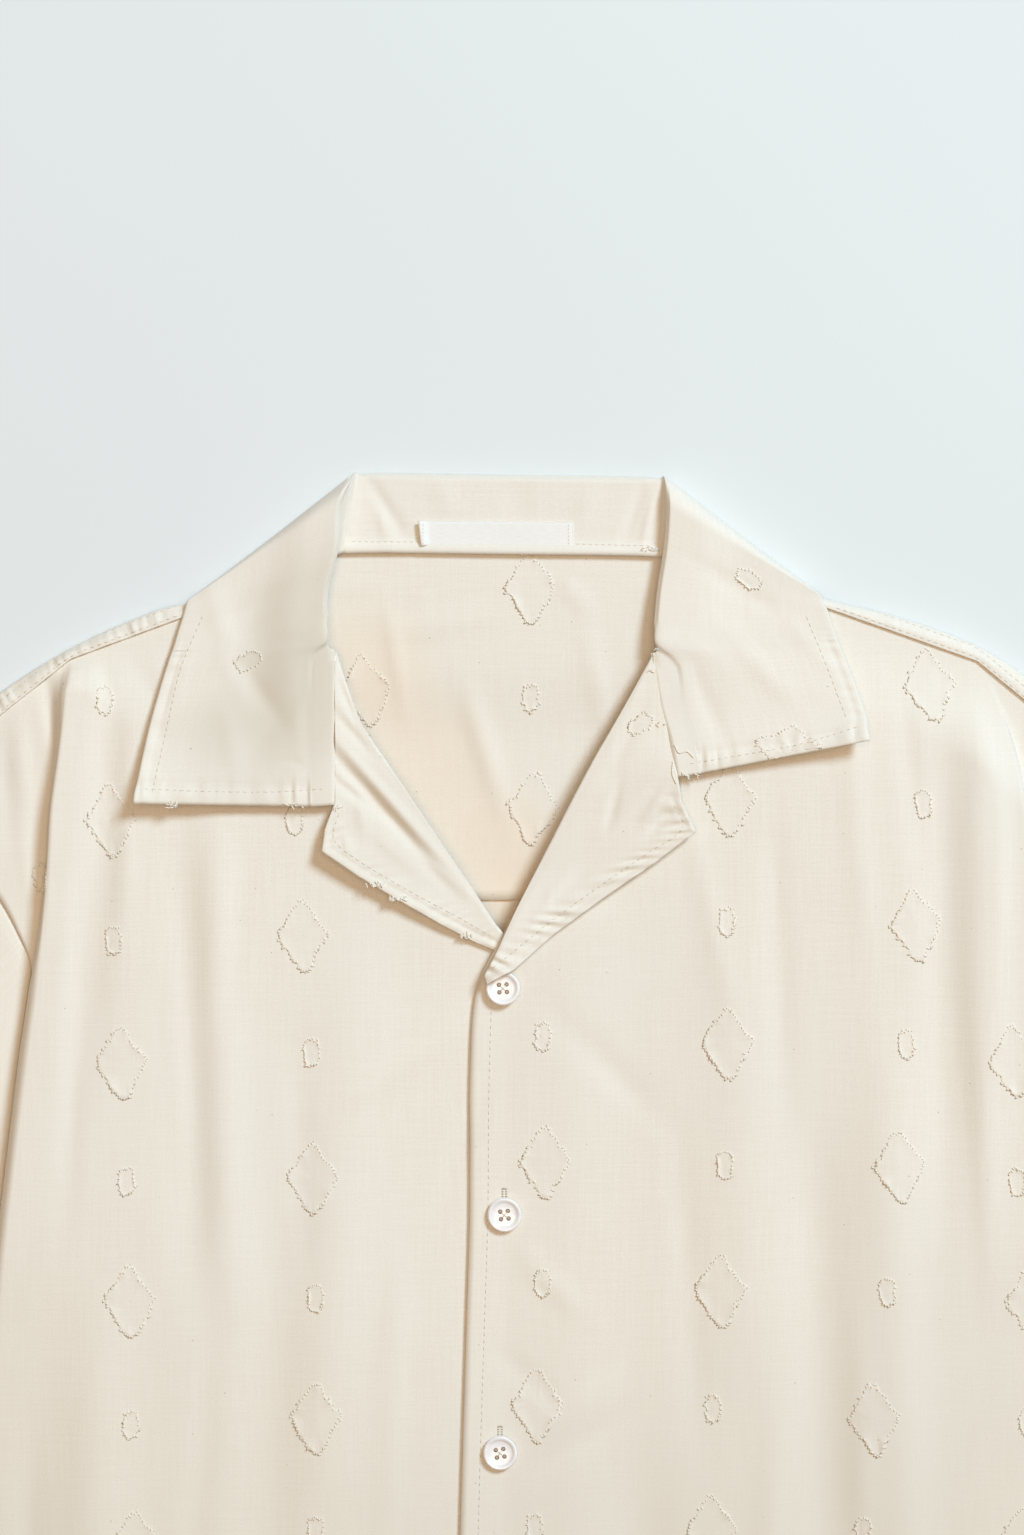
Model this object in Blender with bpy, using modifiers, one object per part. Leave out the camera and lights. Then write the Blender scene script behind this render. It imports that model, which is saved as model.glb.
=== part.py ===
"""Short-sleeved camp collar shirt, laid flat on its back with its front buttoned.

The shirt lies on the plane z = 0 with its collar towards +Y and its wearer's left towards +X.
Tables are in millimetres: across from the middle (+ to the wearer's left), down from the top
of the collar, and height above the surface. Each piece of cloth is a sheet whose outer face is
laid out from such tables and then given its thickness inwards.
"""
import math
from collections import namedtuple

import bmesh
import bpy
from mathutils import Vector

MM = 0.001

# Driving sizes, in millimetres
LENGTH = 735.0
WALL = 1.5
COLLAR_WALL = 2.0
LABEL_WALL = 1.0
GAP = 0.3
SEAM_GAP = 0.5
SEAM_HEIGHT = 8.0
YOKE_DOWN = 179.0
YOKE_LIFT = 2.5
OVERLAP_STEP = 2.2
BUTTON_WIDTH = 14.4
BUTTON_THICK = 2.6
BUTTON_HOLE = 1.7
BUTTON_HOLE_OFFSET = 1.7
SLEEVE_GAP = 1.5
CUFF_HEIGHT = 9.5
LAPEL_GAP = 0.7

# Bands over which a shape comes in, from none at the first number to all of it at the second
CREASE_END = 40.0
CREASES_FROM = (50.0, 110.0)
CREASE_MARGIN = (0.0, 14.0)
SHOULDER_RISE = (0.0, 42.0)
OVERLAP_ACROSS = (22.0, 58.0)
OVERLAP_DOWN = (165.0, 190.0)
ARMHOLE_FALL = (126.0, 165.0)
OPEN_FOLD_END = (150.0, 205.0)
FALL_BESIDE = (134.0, 165.0)
FALL_BELOW = (80.0, 115.0)
UNDERARM_FROM = (185.0, 215.0)
UNDERARM_SHARE = (0.35, 0.8)
UNDERARM_GAP = 2.4
SLEEVE_CROWN = 5.0
SLEEVE_RIPPLE = 1.4
TOP_FOLD_POWER = 0.4
LOW_FOLD_POWER = 0.28

Finish = namedtuple("Finish", "colour roughness metallic")
FINISHES = {
    "cotton": Finish((0.83, 0.76, 0.66, 1.0), 0.9, 0.0),
    "label_tape": Finish((0.87, 0.84, 0.78, 1.0), 0.75, 0.0),
    "button_shell": Finish((0.88, 0.84, 0.80, 1.0), 0.28, 0.0),
}

# Each row runs from the front edge (neckline, roll line, then button edge) over the side fold
# to the outer edge (armhole, then side seam).
FrontRow = namedtuple(
    "FrontRow", "edge_across edge_down fold_across fold_down outer_across outer_down"
)
FRONT_RIGHT = [
    FrontRow(-102.0, 47.7, -183.5, 78.0, -250.0, 131.0),
    FrontRow(-94.0, 62.0, -185.0, 92.0, -238.0, 146.0),
    FrontRow(-75.0, 79.0, -186.3, 106.0, -226.0, 163.0),
    FrontRow(-63.0, 103.0, -188.3, 122.0, -213.0, 181.0),
    FrontRow(-45.0, 130.0, -191.0, 142.0, -206.0, 194.0),
    FrontRow(-25.0, 160.0, -192.6, 170.0, -200.5, 207.5),
    FrontRow(-2.0, 195.0, -195.4, 210.0, -201.8, 222.0),
    FrontRow(11.0, 222.0, -199.2, 240.0, -205.4, 246.0),
    FrontRow(13.0, 260.0, -203.2, 272.0, -209.2, 277.0),
    FrontRow(13.0, 313.0, -208.6, 318.0, -214.8, 322.0),
    FrontRow(13.0, 360.0, -213.0, 364.0, -221.0, 366.0),
    FrontRow(12.0, 438.0, -221.0, 440.0, -229.0, 440.0),
    FrontRow(11.0, 560.0, -230.0, 561.0, -238.0, 561.0),
    FrontRow(9.0, 735.0, -238.0, 735.0, -246.0, 735.0),
]
FRONT_LEFT = [
    FrontRow(102.0, 45.0, 198.0, 79.0, 254.0, 126.0),
    FrontRow(86.0, 62.0, 205.0, 94.0, 244.0, 143.0),
    FrontRow(64.0, 81.0, 211.0, 110.0, 236.0, 160.0),
    FrontRow(44.5, 107.0, 216.0, 130.0, 229.0, 180.0),
    FrontRow(31.5, 130.0, 218.0, 150.0, 224.5, 194.0),
    FrontRow(12.5, 167.0, 219.0, 178.0, 223.8, 206.0),
    FrontRow(-2.0, 195.5, 219.4, 206.0, 225.4, 220.0),
    FrontRow(-12.5, 217.0, 221.4, 232.0, 227.4, 240.0),
    FrontRow(-15.3, 250.0, 224.4, 262.0, 230.2, 268.0),
    FrontRow(-15.6, 313.0, 227.4, 320.0, 233.2, 324.0),
    FrontRow(-17.0, 360.0, 228.0, 364.0, 236.0, 366.0),
    FrontRow(-19.4, 440.0, 233.0, 440.0, 241.0, 440.0),
    FrontRow(-22.0, 560.0, 238.0, 561.0, 246.0, 561.0),
    FrontRow(-25.0, 735.0, 244.0, 735.0, 252.0, 735.0),
]
FRONTS = {"right": FRONT_RIGHT, "left": FRONT_LEFT}

# Height of the fronts' outer face at the middle, half way, at the side fold and at the outer edge
HeightRow = namedtuple("HeightRow", "down middle half fold outer")
HEIGHTS = [
    HeightRow(40.0, 9.0, 9.5, 10.0, 8.0),
    HeightRow(100.0, 13.0, 13.0, 15.5, 8.5),
    HeightRow(160.0, 12.0, 14.0, 18.5, 8.5),
    HeightRow(205.0, 9.5, 14.5, 19.0, 8.0),
    HeightRow(250.0, 9.0, 14.5, 19.0, 7.5),
    HeightRow(322.0, 9.0, 14.5, 18.5, 6.5),
    HeightRow(366.0, 9.0, 14.5, 16.0, 2.0),
    HeightRow(440.0, 9.0, 14.0, 14.5, 2.0),
    HeightRow(560.0, 9.0, 13.0, 13.0, 2.0),
    HeightRow(735.0, 9.0, 11.5, 11.5, 2.0),
]

# Soft folds and hollows of the fronts: a line on the cloth, its half width and its height
Crease = namedtuple("Crease", "across down end_across end_down width height")
CREASES = [
    Crease(-128.0, 150.0, -126.0, 315.0, 11.0, 2.6),
    Crease(-150.0, 160.0, -152.0, 330.0, 9.0, -2.2),
    Crease(-166.0, 95.0, -176.0, 250.0, 7.0, -2.0),
    Crease(-62.0, 205.0, -78.0, 420.0, 16.0, 1.8),
    Crease(-96.0, 300.0, -104.0, 520.0, 15.0, -2.2),
    Crease(-170.0, 360.0, -182.0, 640.0, 14.0, 2.4),
    Crease(-140.0, 470.0, -150.0, 700.0, 12.0, -2.2),
    Crease(-50.0, 520.0, -58.0, 735.0, 16.0, 2.2),
    Crease(129.0, 285.0, 134.0, 470.0, 12.0, -2.6),
    Crease(158.0, 240.0, 170.0, 560.0, 13.0, 2.4),
    Crease(200.0, 85.0, 198.0, 330.0, 9.0, 2.2),
    Crease(182.0, 120.0, 184.0, 300.0, 9.0, -2.0),
    Crease(96.0, 190.0, 100.0, 380.0, 14.0, 1.6),
    Crease(56.0, 430.0, 70.0, 640.0, 15.0, -2.0),
    Crease(120.0, 540.0, 128.0, 735.0, 15.0, 2.4),
    Crease(190.0, 470.0, 204.0, 735.0, 13.0, -2.2),
    Crease(14.0, 404.0, 40.0, 384.0, 5.0, 1.2),
]

# Rises over the under lapel's end and over the top button
Bump = namedtuple("Bump", "across down width length height")
UNDER_LAPEL = Bump(-4.0, 198.0, 16.0, 15.0, 2.6)
OVER_BUTTON = Bump(-3.0, 213.0, 13.0, 11.0, 3.4)

# The fold from the side fold's crest outwards, above the underarm: reach and level as shares
OpenStep = namedtuple("OpenStep", "reach level")
OPEN_FOLD = [
    OpenStep(0.0, 1.0),
    OpenStep(0.035, 0.80),
    OpenStep(0.075, 0.42),
    OpenStep(0.16, 0.06),
    OpenStep(0.38, -0.10),
    OpenStep(0.70, -0.04),
    OpenStep(1.0, 0.0),
]

# Shoulder line seen from above, from the wearer's right to left
EdgePoint = namedtuple("EdgePoint", "across down")
SHOULDER_LINE = [
    EdgePoint(-256.0, 124.0),
    EdgePoint(-213.0, 92.0),
    EdgePoint(-183.0, 73.5),
    EdgePoint(-149.0, 58.5),
    EdgePoint(-133.0, 54.5),
    EdgePoint(-110.0, 45.0),
    EdgePoint(-84.0, 36.0),
    EdgePoint(-70.0, 33.0),
    EdgePoint(0.0, 33.6),
    EdgePoint(65.0, 34.4),
    EdgePoint(84.0, 35.0),
    EdgePoint(110.0, 43.0),
    EdgePoint(131.0, 52.5),
    EdgePoint(165.0, 61.0),
    EdgePoint(197.0, 72.7),
    EdgePoint(217.0, 84.8),
    EdgePoint(257.0, 118.0),
]
NECK_EDGES = (72.0, 101.0)
NECK_STRIP = 10.2

# Collar, from the right leaf's front end round the neck to the left leaf's. Each row gives the
# neck seam, the fold and the outer edge; layer is 1 on the fronts and 0 under the yoke, doubled
# is 1 where the stand lies folded under the leaf, and lift is the outer edge's rise.
CollarRow = namedtuple(
    "CollarRow", "seam_a seam_d fold_a fold_d edge_a edge_d layer doubled lift"
)
COLLAR = [
    CollarRow(-72.8, 140.2, -82.0, 140.6, -155.4, 139.6, 1.0, 0.0, 4.5),
    CollarRow(-73.2, 118.0, -82.0, 118.0, -151.5, 116.5, 1.0, 0.0, 3.0),
    CollarRow(-73.0, 97.0, -82.0, 96.5, -147.2, 98.0, 1.0, 0.0, 2.4),
    CollarRow(-73.0, 79.0, -81.0, 78.0, -142.2, 80.0, 1.0, 0.0, 1.8),
    CollarRow(-85.0, 67.0, -75.4, 63.0, -138.5, 68.0, 1.0, 1.0, 1.2),
    CollarRow(-86.0, 54.0, -74.8, 50.0, -136.0, 60.0, 1.0, 1.0, 0.8),
    CollarRow(-81.0, 41.0, -70.6, 32.0, -134.8, 55.0, 1.0, 1.0, 0.2),
    CollarRow(-75.0, 36.0, -69.6, 14.0, -134.6, 52.6, 1.0, 1.0, 0.0),
    CollarRow(-69.8, 32.6, -64.5, 0.6, -134.0, 50.6, 0.45, 1.0, 0.0),
    CollarRow(-67.0, 32.4, -62.5, 0.4, -130.0, 52.0, 0.0, 1.0, 0.0),
    CollarRow(-58.0, 32.2, -54.0, 0.0, -112.0, 63.0, 0.0, 1.0, 0.0),
    CollarRow(-42.0, 32.2, -40.0, 0.2, -80.0, 71.0, 0.0, 1.0, 0.0),
    CollarRow(0.0, 32.8, 0.0, 0.9, 0.0, 74.5, 0.0, 1.0, 0.0),
    CollarRow(42.0, 33.2, 42.0, 1.4, 80.0, 71.0, 0.0, 1.0, 0.0),
    CollarRow(56.0, 33.5, 57.0, 1.7, 111.0, 62.0, 0.0, 1.0, 0.0),
    CollarRow(63.0, 33.8, 64.4, 2.0, 128.6, 49.0, 0.0, 1.0, 0.0),
    CollarRow(65.4, 34.0, 66.4, 2.1, 132.6, 46.6, 0.45, 1.0, 0.0),
    CollarRow(71.0, 36.0, 67.0, 15.0, 133.0, 49.6, 1.0, 1.0, 0.0),
    CollarRow(76.5, 42.0, 65.9, 31.0, 133.0, 52.4, 1.0, 1.0, 0.2),
    CollarRow(75.0, 55.0, 63.0, 50.0, 134.4, 57.5, 1.0, 1.0, 0.8),
    CollarRow(72.0, 70.0, 61.6, 66.0, 137.0, 65.0, 1.0, 1.0, 1.0),
    CollarRow(62.6, 81.0, 70.5, 80.5, 140.6, 75.0, 1.0, 0.0, 1.2),
    CollarRow(65.2, 98.0, 73.5, 97.0, 146.2, 90.0, 1.0, 0.0, 1.6),
    CollarRow(69.3, 113.0, 78.0, 111.5, 149.8, 102.0, 1.0, 0.0, 2.4),
    CollarRow(72.0, 128.3, 81.0, 127.0, 151.2, 113.2, 1.0, 0.0, 3.4),
]

# Turned lapels: the roll line and the outer edge (gorge seam, notch, tip, then lower edge)
LapelRow = namedtuple("LapelRow", "roll_a roll_d edge_a edge_d lift")
LAPELS = {
    "right": [
        LapelRow(-71.4, 76.0, -71.9, 80.0, 0.0),
        LapelRow(-67.0, 90.0, -72.0, 100.0, 0.0),
        LapelRow(-61.0, 106.0, -71.9, 122.0, 0.2),
        LapelRow(-54.0, 118.5, -71.9, 139.5, 0.8),
        LapelRow(-46.0, 128.5, -76.2, 150.8, 2.6),
        LapelRow(-40.0, 137.5, -77.3, 159.6, 3.6),
        LapelRow(-31.0, 151.0, -62.0, 170.1, 2.6),
        LapelRow(-22.5, 163.5, -45.0, 180.2, 2.2),
        LapelRow(-13.0, 177.5, -27.0, 190.6, 1.2),
        LapelRow(-6.0, 188.5, -13.0, 198.0, 0.4),
        LapelRow(-1.5, 194.0, -4.5, 201.5, 0.0),
    ],
    "left": [
        LapelRow(60.6, 78.0, 61.8, 82.0, 0.0),
        LapelRow(53.0, 92.0, 64.2, 98.0, 0.0),
        LapelRow(44.5, 107.0, 68.4, 113.0, 0.2),
        LapelRow(37.5, 119.0, 71.4, 128.6, 0.8),
        LapelRow(31.0, 131.0, 73.0, 138.5, 2.0),
        LapelRow(25.0, 142.5, 79.0, 151.4, 3.0),
        LapelRow(18.9, 154.6, 62.2, 164.2, 2.0),
        LapelRow(12.0, 168.0, 40.3, 179.3, 1.6),
        LapelRow(3.6, 184.5, 20.6, 193.6, 1.6),
        LapelRow(-4.0, 201.0, 3.0, 208.8, 2.0),
        LapelRow(-9.6, 211.5, -8.6, 215.0, 1.6),
    ],
}

# Sleeves: the cuff's two corners, and the armhole taken from the fronts' outer edge
SLEEVE_CUFFS = {
    "right": (EdgePoint(-410.0, 309.0), EdgePoint(-257.0, 438.0)),
    "left": (EdgePoint(410.0, 302.0), EdgePoint(268.0, 442.0)),
}
UNDERARM = {"right": EdgePoint(-223.0, 340.0), "left": EdgePoint(241.0, 342.0)}
SLEEVE_TOP = {"right": EdgePoint(-256.6, 124.6), "left": EdgePoint(257.8, 118.6)}

LABEL_CORNERS = (EdgePoint(-37.4, 20.6), EdgePoint(27.7, 31.0))

BUTTONS = [
    EdgePoint(-1.7, 217.1),
    EdgePoint(-1.1, 312.3),
    EdgePoint(-2.9, 412.2),
    EdgePoint(-5.0, 512.0),
    EdgePoint(-7.2, 612.0),
]


def share(value, low, high):
    """Place of value between low and high, held inside 0 to 1."""
    return min(1.0, max(0.0, (value - low) / (high - low)))


def eased(value, low, high):
    """Smooth step from 0 at low to 1 at high."""
    part = share(value, low, high)
    return part * part * (3.0 - 2.0 * part)


def mix(first, second, part):
    return first + (second - first) * part


def curve(keys, values, key):
    """Smooth curve through a table: values at rising or falling keys, read at key."""
    if keys[0] > keys[-1]:
        keys = keys[::-1]
        values = values[::-1]
    last = len(keys) - 1
    key = min(max(key, keys[0]), keys[last])
    row = 0
    while row < last - 1 and key > keys[row + 1]:
        row += 1

    def slope(index):
        low = max(index - 1, 0)
        high = min(index + 1, last)
        return (values[high] - values[low]) / (keys[high] - keys[low])

    step = keys[row + 1] - keys[row]
    part = (key - keys[row]) / step
    square = part * part
    cube = square * part
    return (
        values[row] * (2.0 * cube - 3.0 * square + 1.0)
        + slope(row) * step * (cube - 2.0 * square + part)
        + values[row + 1] * (3.0 * square - 2.0 * cube)
        + slope(row + 1) * step * (cube - square)
    )


def column(table, name):
    return [getattr(row, name) for row in table]


def read_row(table, key, place):
    """One row of a table at a place on the smooth curves through its columns."""
    keys = column(table, key)
    return type(table[0])(*[curve(keys, column(table, name), place) for name in table[0]._fields])


def row_at(table, part, straight=()):
    """One row at a share of the way down a table; the columns named straight keep corners."""
    keys = list(range(len(table)))
    place = part * (len(table) - 1)
    low = min(int(place), len(table) - 2)
    values = []
    for name in table[0]._fields:
        numbers = column(table, name)
        if name in straight:
            values.append(mix(numbers[low], numbers[low + 1], place - low))
        else:
            values.append(curve(keys, numbers, place))
    return type(table[0])(*values)


def point(across, down, height):
    """World place in metres of a point of the laid-out shirt."""
    return Vector((across * MM, (LENGTH / 2.0 - down) * MM, height * MM))


def crease_height(across, down):
    """Sum of the soft folds and hollows at a place on the fronts."""
    total = 0.0
    for crease in CREASES:
        run_a = crease.end_across - crease.across
        run_d = crease.end_down - crease.down
        length = math.hypot(run_a, run_d)
        off_a = across - crease.across
        off_d = down - crease.down
        along = (off_a * run_a + off_d * run_d) / length
        aside = (off_a * run_d - off_d * run_a) / length
        end = min(CREASE_END, length / 2.0)
        fade = eased(along, -end, end) * (1.0 - eased(along, length - end, length + end))
        total += crease.height * fade * math.exp(-((aside / crease.width) ** 2))
    return total


def bump_height(bump, across, down):
    """A rounded rise of the cloth over something that lies under it."""
    off_a = (across - bump.across) / bump.width
    off_d = (down - bump.down) / bump.length
    return bump.height * math.exp(-(off_a * off_a) - off_d * off_d)


def seam_down(side, across):
    """The shoulder seam's place on a front, straight from the neck over the side fold."""
    first = FRONTS[side][0]
    if abs(across) < abs(first.fold_across):
        part = (across - first.edge_across) / (first.fold_across - first.edge_across)
        return mix(first.edge_down, first.fold_down, part)
    part = (across - first.fold_across) / (first.outer_across - first.fold_across)
    return mix(first.fold_down, first.outer_down, part)


def front_height(side, across, down):
    """Outer face of a front inside its side fold; the left one steps up over the right."""
    half_side = "right" if across < 0.0 else "left"
    level = read_row(HEIGHTS, "down", down)
    fold = abs(read_row(FRONTS[half_side], "fold_down", down).fold_across)
    part = share(abs(across), 0.0, fold)
    middle = level.middle * (1.0 - part) * (1.0 - 2.0 * part)
    half = level.half * 4.0 * part * (1.0 - part)
    crest = level.fold * part * (2.0 * part - 1.0)
    height = middle + half + crest
    inside = eased(fold - abs(across), *CREASE_MARGIN)
    height += crease_height(across, down) * inside * eased(down, *CREASES_FROM)
    rise = eased(down - seam_down(side, across), *SHOULDER_RISE)
    height = mix(SEAM_HEIGHT, height, rise)
    if side == "left":
        step = (1.0 - eased(across, *OVERLAP_ACROSS)) * eased(down, *OVERLAP_DOWN)
        height += OVERLAP_STEP * step + bump_height(UNDER_LAPEL, across, down)
    return height


def station(part):
    """Rows lie closer together at the shoulder than at the hem."""
    return 0.4 * part + 0.6 * part * part


FRONT_INNER_COLUMNS = 15
FRONT_FOLD_COLUMNS = len(OPEN_FOLD) - 1
FRONT_COLUMNS = FRONT_INNER_COLUMNS + FRONT_FOLD_COLUMNS
FRONT_ROWS = 27


def front_point(side, u, v):
    """u from the front edge over the fold to the outer edge, v from shoulder to hem."""
    table = FRONTS[side]
    first = table[0].fold_down
    place = mix(first, table[-1].fold_down, station(v))
    row = read_row(table, "fold_down", place)
    col = u * FRONT_COLUMNS
    if col <= FRONT_INNER_COLUMNS:
        part = col / FRONT_INNER_COLUMNS
        across = mix(row.edge_across, row.fold_across, part)
        down = mix(row.edge_down, row.fold_down, part)
        return point(across, down, front_height(side, across, down))
    level = read_row(HEIGHTS, "down", row.outer_down)
    crest = front_height(side, row.fold_across, row.fold_down)
    foot = mix(SEAM_HEIGHT, level.outer, eased(row.outer_down, *ARMHOLE_FALL))
    step = col - FRONT_INNER_COLUMNS
    turn = step / FRONT_FOLD_COLUMNS * math.pi / 2.0
    opened = 1.0 - eased(row.fold_down, *OPEN_FOLD_END)
    low = min(int(step), FRONT_FOLD_COLUMNS - 1)
    open_reach = mix(OPEN_FOLD[low].reach, OPEN_FOLD[low + 1].reach, step - low)
    open_level = mix(OPEN_FOLD[low].level, OPEN_FOLD[low + 1].level, step - low)
    reach = mix(math.sin(turn), open_reach, opened)
    fall = mix(math.cos(turn), open_level, opened)
    across = mix(row.fold_across, row.outer_across, reach)
    down = mix(row.fold_down, row.outer_down, reach)
    drop = crest - foot
    if fall < 0.0:
        drop = min(max(drop, 0.0), 6.0)
    return point(across, down, foot + drop * fall)


def front_place(side, across, down, height):
    """A point that height above a front's outer face."""
    return point(across, down, front_height(side, across, down) + height)


def outer_edge(side, down):
    """Armhole and side seam of the back, under the fronts' outer edge."""
    return read_row(FRONTS[side], "outer_down", down).outer_across


def sheet(name, columns, rows, place, wall, up_at, parent, finish):
    """A grid laid out by place(u, v) and thickened inwards; its outer face looks up at up_at."""
    mesh = bpy.data.meshes.new(name)
    grid = bmesh.new()
    bmesh.ops.create_grid(grid, x_segments=columns, y_segments=rows, size=1.0)
    for vert in grid.verts:
        u = (vert.co.x + 1.0) / 2.0
        v = (vert.co.y + 1.0) / 2.0
        vert.co = place(u, v)
    u, v = up_at
    small = 0.01
    run_u = place(u + small, v) - place(u, v)
    run_v = place(u, v + small) - place(u, v)
    if run_u.cross(run_v).z < 0.0:
        bmesh.ops.reverse_faces(grid, faces=grid.faces[:])
    bmesh.ops.remove_doubles(grid, verts=grid.verts[:], dist=0.00001)
    grid.to_mesh(mesh)
    grid.free()
    item = finish_object(name, mesh, parent, finish)
    thick = item.modifiers.new("Wall", "SOLIDIFY")
    thick.thickness = wall * MM
    thick.offset = -1.0
    thick.use_rim = True
    return item


def material(name):
    found = bpy.data.materials.get(name)
    if found:
        return found
    made = bpy.data.materials.new(name)
    made.use_nodes = True
    shader = made.node_tree.nodes["Principled BSDF"]
    finish = FINISHES[name]
    shader.inputs["Base Color"].default_value = finish.colour
    shader.inputs["Roughness"].default_value = finish.roughness
    shader.inputs["Metallic"].default_value = finish.metallic
    made.diffuse_color = finish.colour
    return made


def finish_object(name, mesh, parent, finish):
    item = bpy.data.objects.new(name, mesh)
    mesh.materials.append(material(finish))
    mesh.shade_smooth()
    mesh.set_sharp_from_angle(angle=math.radians(50.0))
    parent.objects.link(item)
    return item


def build_front(side, parent):
    def place(u, v):
        return front_point(side, u, v)

    sheet("front_" + side, FRONT_COLUMNS, FRONT_ROWS, place, WALL, (0.5, 0.5), parent, "cotton")


def build_back(parent):
    """Lower back, flat on the surface under the fronts."""
    def place(u, v):
        down = mix(YOKE_DOWN + GAP, LENGTH, station(v))
        across = mix(outer_edge("right", down), outer_edge("left", down), u)
        return point(across, down, 0.0)

    item = sheet("back", 10, 22, place, WALL, (0.5, 0.5), parent, "cotton")
    face_down(item)


def face_down(item):
    """Turn a sheet over, so that its outer face is the one it lies on."""
    grid = bmesh.new()
    grid.from_mesh(item.data)
    bmesh.ops.reverse_faces(grid, faces=grid.faces[:])
    grid.to_mesh(item.data)
    grid.free()


YOKE_FLAT_ROWS = 5
YOKE_ROWS = YOKE_FLAT_ROWS + 6


def shoulder_point(across):
    keys = column(SHOULDER_LINE, "across")
    return curve(keys, column(SHOULDER_LINE, "down"), across)


def yoke_lift(across, down):
    """Rise of the yoke over the collar's fall, which lies under it."""
    beside = 1.0 - eased(abs(across), *FALL_BESIDE)
    below = 1.0 - eased(down, *FALL_BELOW)
    return YOKE_LIFT * beside * below


def seam_reach(across, top, in_a, in_d):
    """Distance from the shoulder line to just short of the shoulder seam."""
    side = "right" if across < 0.0 else "left"
    corner = FRONTS[side][0].fold_across
    reach = 6.0
    for _ in range(6):
        end = across + in_a * reach
        round_corner = math.exp(-(((end - corner) / 11.0) ** 2))
        seam = seam_down(side, end) - 1.4 * SEAM_GAP - 1.7 * round_corner
        reach = (seam - top) / in_d
    return reach


def yoke_edge_shift(side, across_now, down):
    """How far the straight outer edge of the yoke lies from the curved armhole."""
    end = SHOULDER_LINE[0] if side == "right" else SHOULDER_LINE[-1]
    low = outer_edge(side, YOKE_DOWN)
    part = share(down, end.down, YOKE_DOWN)
    straight = mix(end.across, low, part)
    middle = eased(down, end.down, end.down + 10.0)
    share_out = share(abs(across_now), 0.6 * abs(straight), abs(straight))
    return (outer_edge(side, down) - straight) * middle * share_out ** 2


def yoke_point(u, v):
    """u from the right shoulder point to the left, v from the yoke seam over the shoulder."""
    across = mix(SHOULDER_LINE[0].across, SHOULDER_LINE[-1].across, u)
    top = shoulder_point(across)
    right = outer_edge("right", YOKE_DOWN)
    left = outer_edge("left", YOKE_DOWN)
    seam_across = mix(right, left, u)
    near = shoulder_point(across - 2.0)
    far = shoulder_point(across + 2.0)
    tilt = math.atan2(far - near, 4.0)
    in_a = -math.sin(tilt)
    in_d = math.cos(tilt)
    low = yoke_lift(across, top)
    radius = (SEAM_HEIGHT - low) / 2.0
    rolled = eased(abs(across), *NECK_EDGES)
    turn = math.pi * rolled
    over = math.pi * radius + seam_reach(across, top, in_a, in_d) - radius
    strip = mix(NECK_STRIP, over, rolled) * (1.0 - 0.45 * math.sin(turn))
    inset = mix(strip, radius, rolled)
    start_a = across + in_a * inset
    start_d = top + in_d * inset
    step = v * YOKE_ROWS
    if step <= YOKE_FLAT_ROWS:
        part = step / YOKE_FLAT_ROWS
        place_a = mix(seam_across, start_a, part)
        place_d = mix(YOKE_DOWN - GAP, start_d, part)
        side = "right" if across < 0.0 else "left"
        place_a += yoke_edge_shift(side, place_a, place_d)
        return point(place_a, place_d, yoke_lift(place_a, place_d))
    run = share(step, YOKE_FLAT_ROWS, YOKE_ROWS) * strip
    bent = min(run / radius, turn)
    rest = run - bent * radius
    out = radius * math.sin(bent) + rest * math.cos(bent)
    rise = radius * (1.0 - math.cos(bent)) + rest * math.sin(bent)
    return point(start_a - in_a * out, start_d - in_d * out, low + rise)


def build_yoke(parent):
    item = sheet("yoke", 34, YOKE_ROWS, yoke_point, WALL, (0.5, 0.3), parent, "cotton")
    face_down(item)


FOLD_REACH = 2.2
TWIST_RISE = 0.9
FALL_SHARES = (0.12, 0.3, 0.5, 0.72, 1.0)
STAND_COLUMNS = 3
COLLAR_COLUMNS = STAND_COLUMNS + 1 + len(FALL_SHARES)
COLLAR_ROWS = 48


def collar_point(u, v):
    """u along the collar from the right leaf to the left, v from the neck seam over the fold."""
    row = row_at(COLLAR, u)
    side = "right" if row.seam_a < 0.0 else "left"
    stand_width = math.hypot(row.seam_a - row.fold_a, row.seam_d - row.fold_d)
    fall_width = math.hypot(row.edge_a - row.fold_a, row.edge_d - row.fold_d)
    turn = FOLD_REACH / stand_width
    root = FOLD_REACH / fall_width
    shares = [-1.0, -0.5 - turn / 2.0, -turn, 0.0, root] + list(FALL_SHARES)
    step = v * COLLAR_COLUMNS
    low = min(int(step), COLLAR_COLUMNS - 1)
    place = mix(shares[low], shares[low + 1], step - low)
    stand = min(place, 0.0)
    fall = max(place, 0.0)
    across = row.fold_a + (row.fold_a - row.seam_a) * stand + (row.edge_a - row.fold_a) * fall
    down = row.fold_d + (row.fold_d - row.seam_d) * stand + (row.edge_d - row.fold_d) * fall
    twist = 4.0 * row.doubled * (1.0 - row.doubled)
    clear = 2.0 * GAP + TWIST_RISE * twist
    on_top = front_height(side, across, max(down, seam_down(side, across))) + clear
    single = on_top + COLLAR_WALL
    double = single + COLLAR_WALL + GAP
    fold = (on_top + double) / 2.0
    thick = 2.0 * COLLAR_WALL + 2.0 * GAP
    if place <= 0.0:
        near = share(-place, 0.0, turn)
        folded = mix(fold, on_top, near)
        leaf = mix(single, folded, row.doubled)
        under = mix(thick / 2.0, thick, near)
    else:
        near = share(place, 0.0, root)
        past = eased(fall, 0.2, 0.5)
        folded = mix(mix(fold, double, near), single, past)
        leaf = mix(single, folded, row.doubled) + row.lift * fall * fall
        under = mix(thick / 2.0, 0.0, near)
    return point(across, down, mix(under, leaf, eased(row.layer, 0.0, 1.0)))


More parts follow.
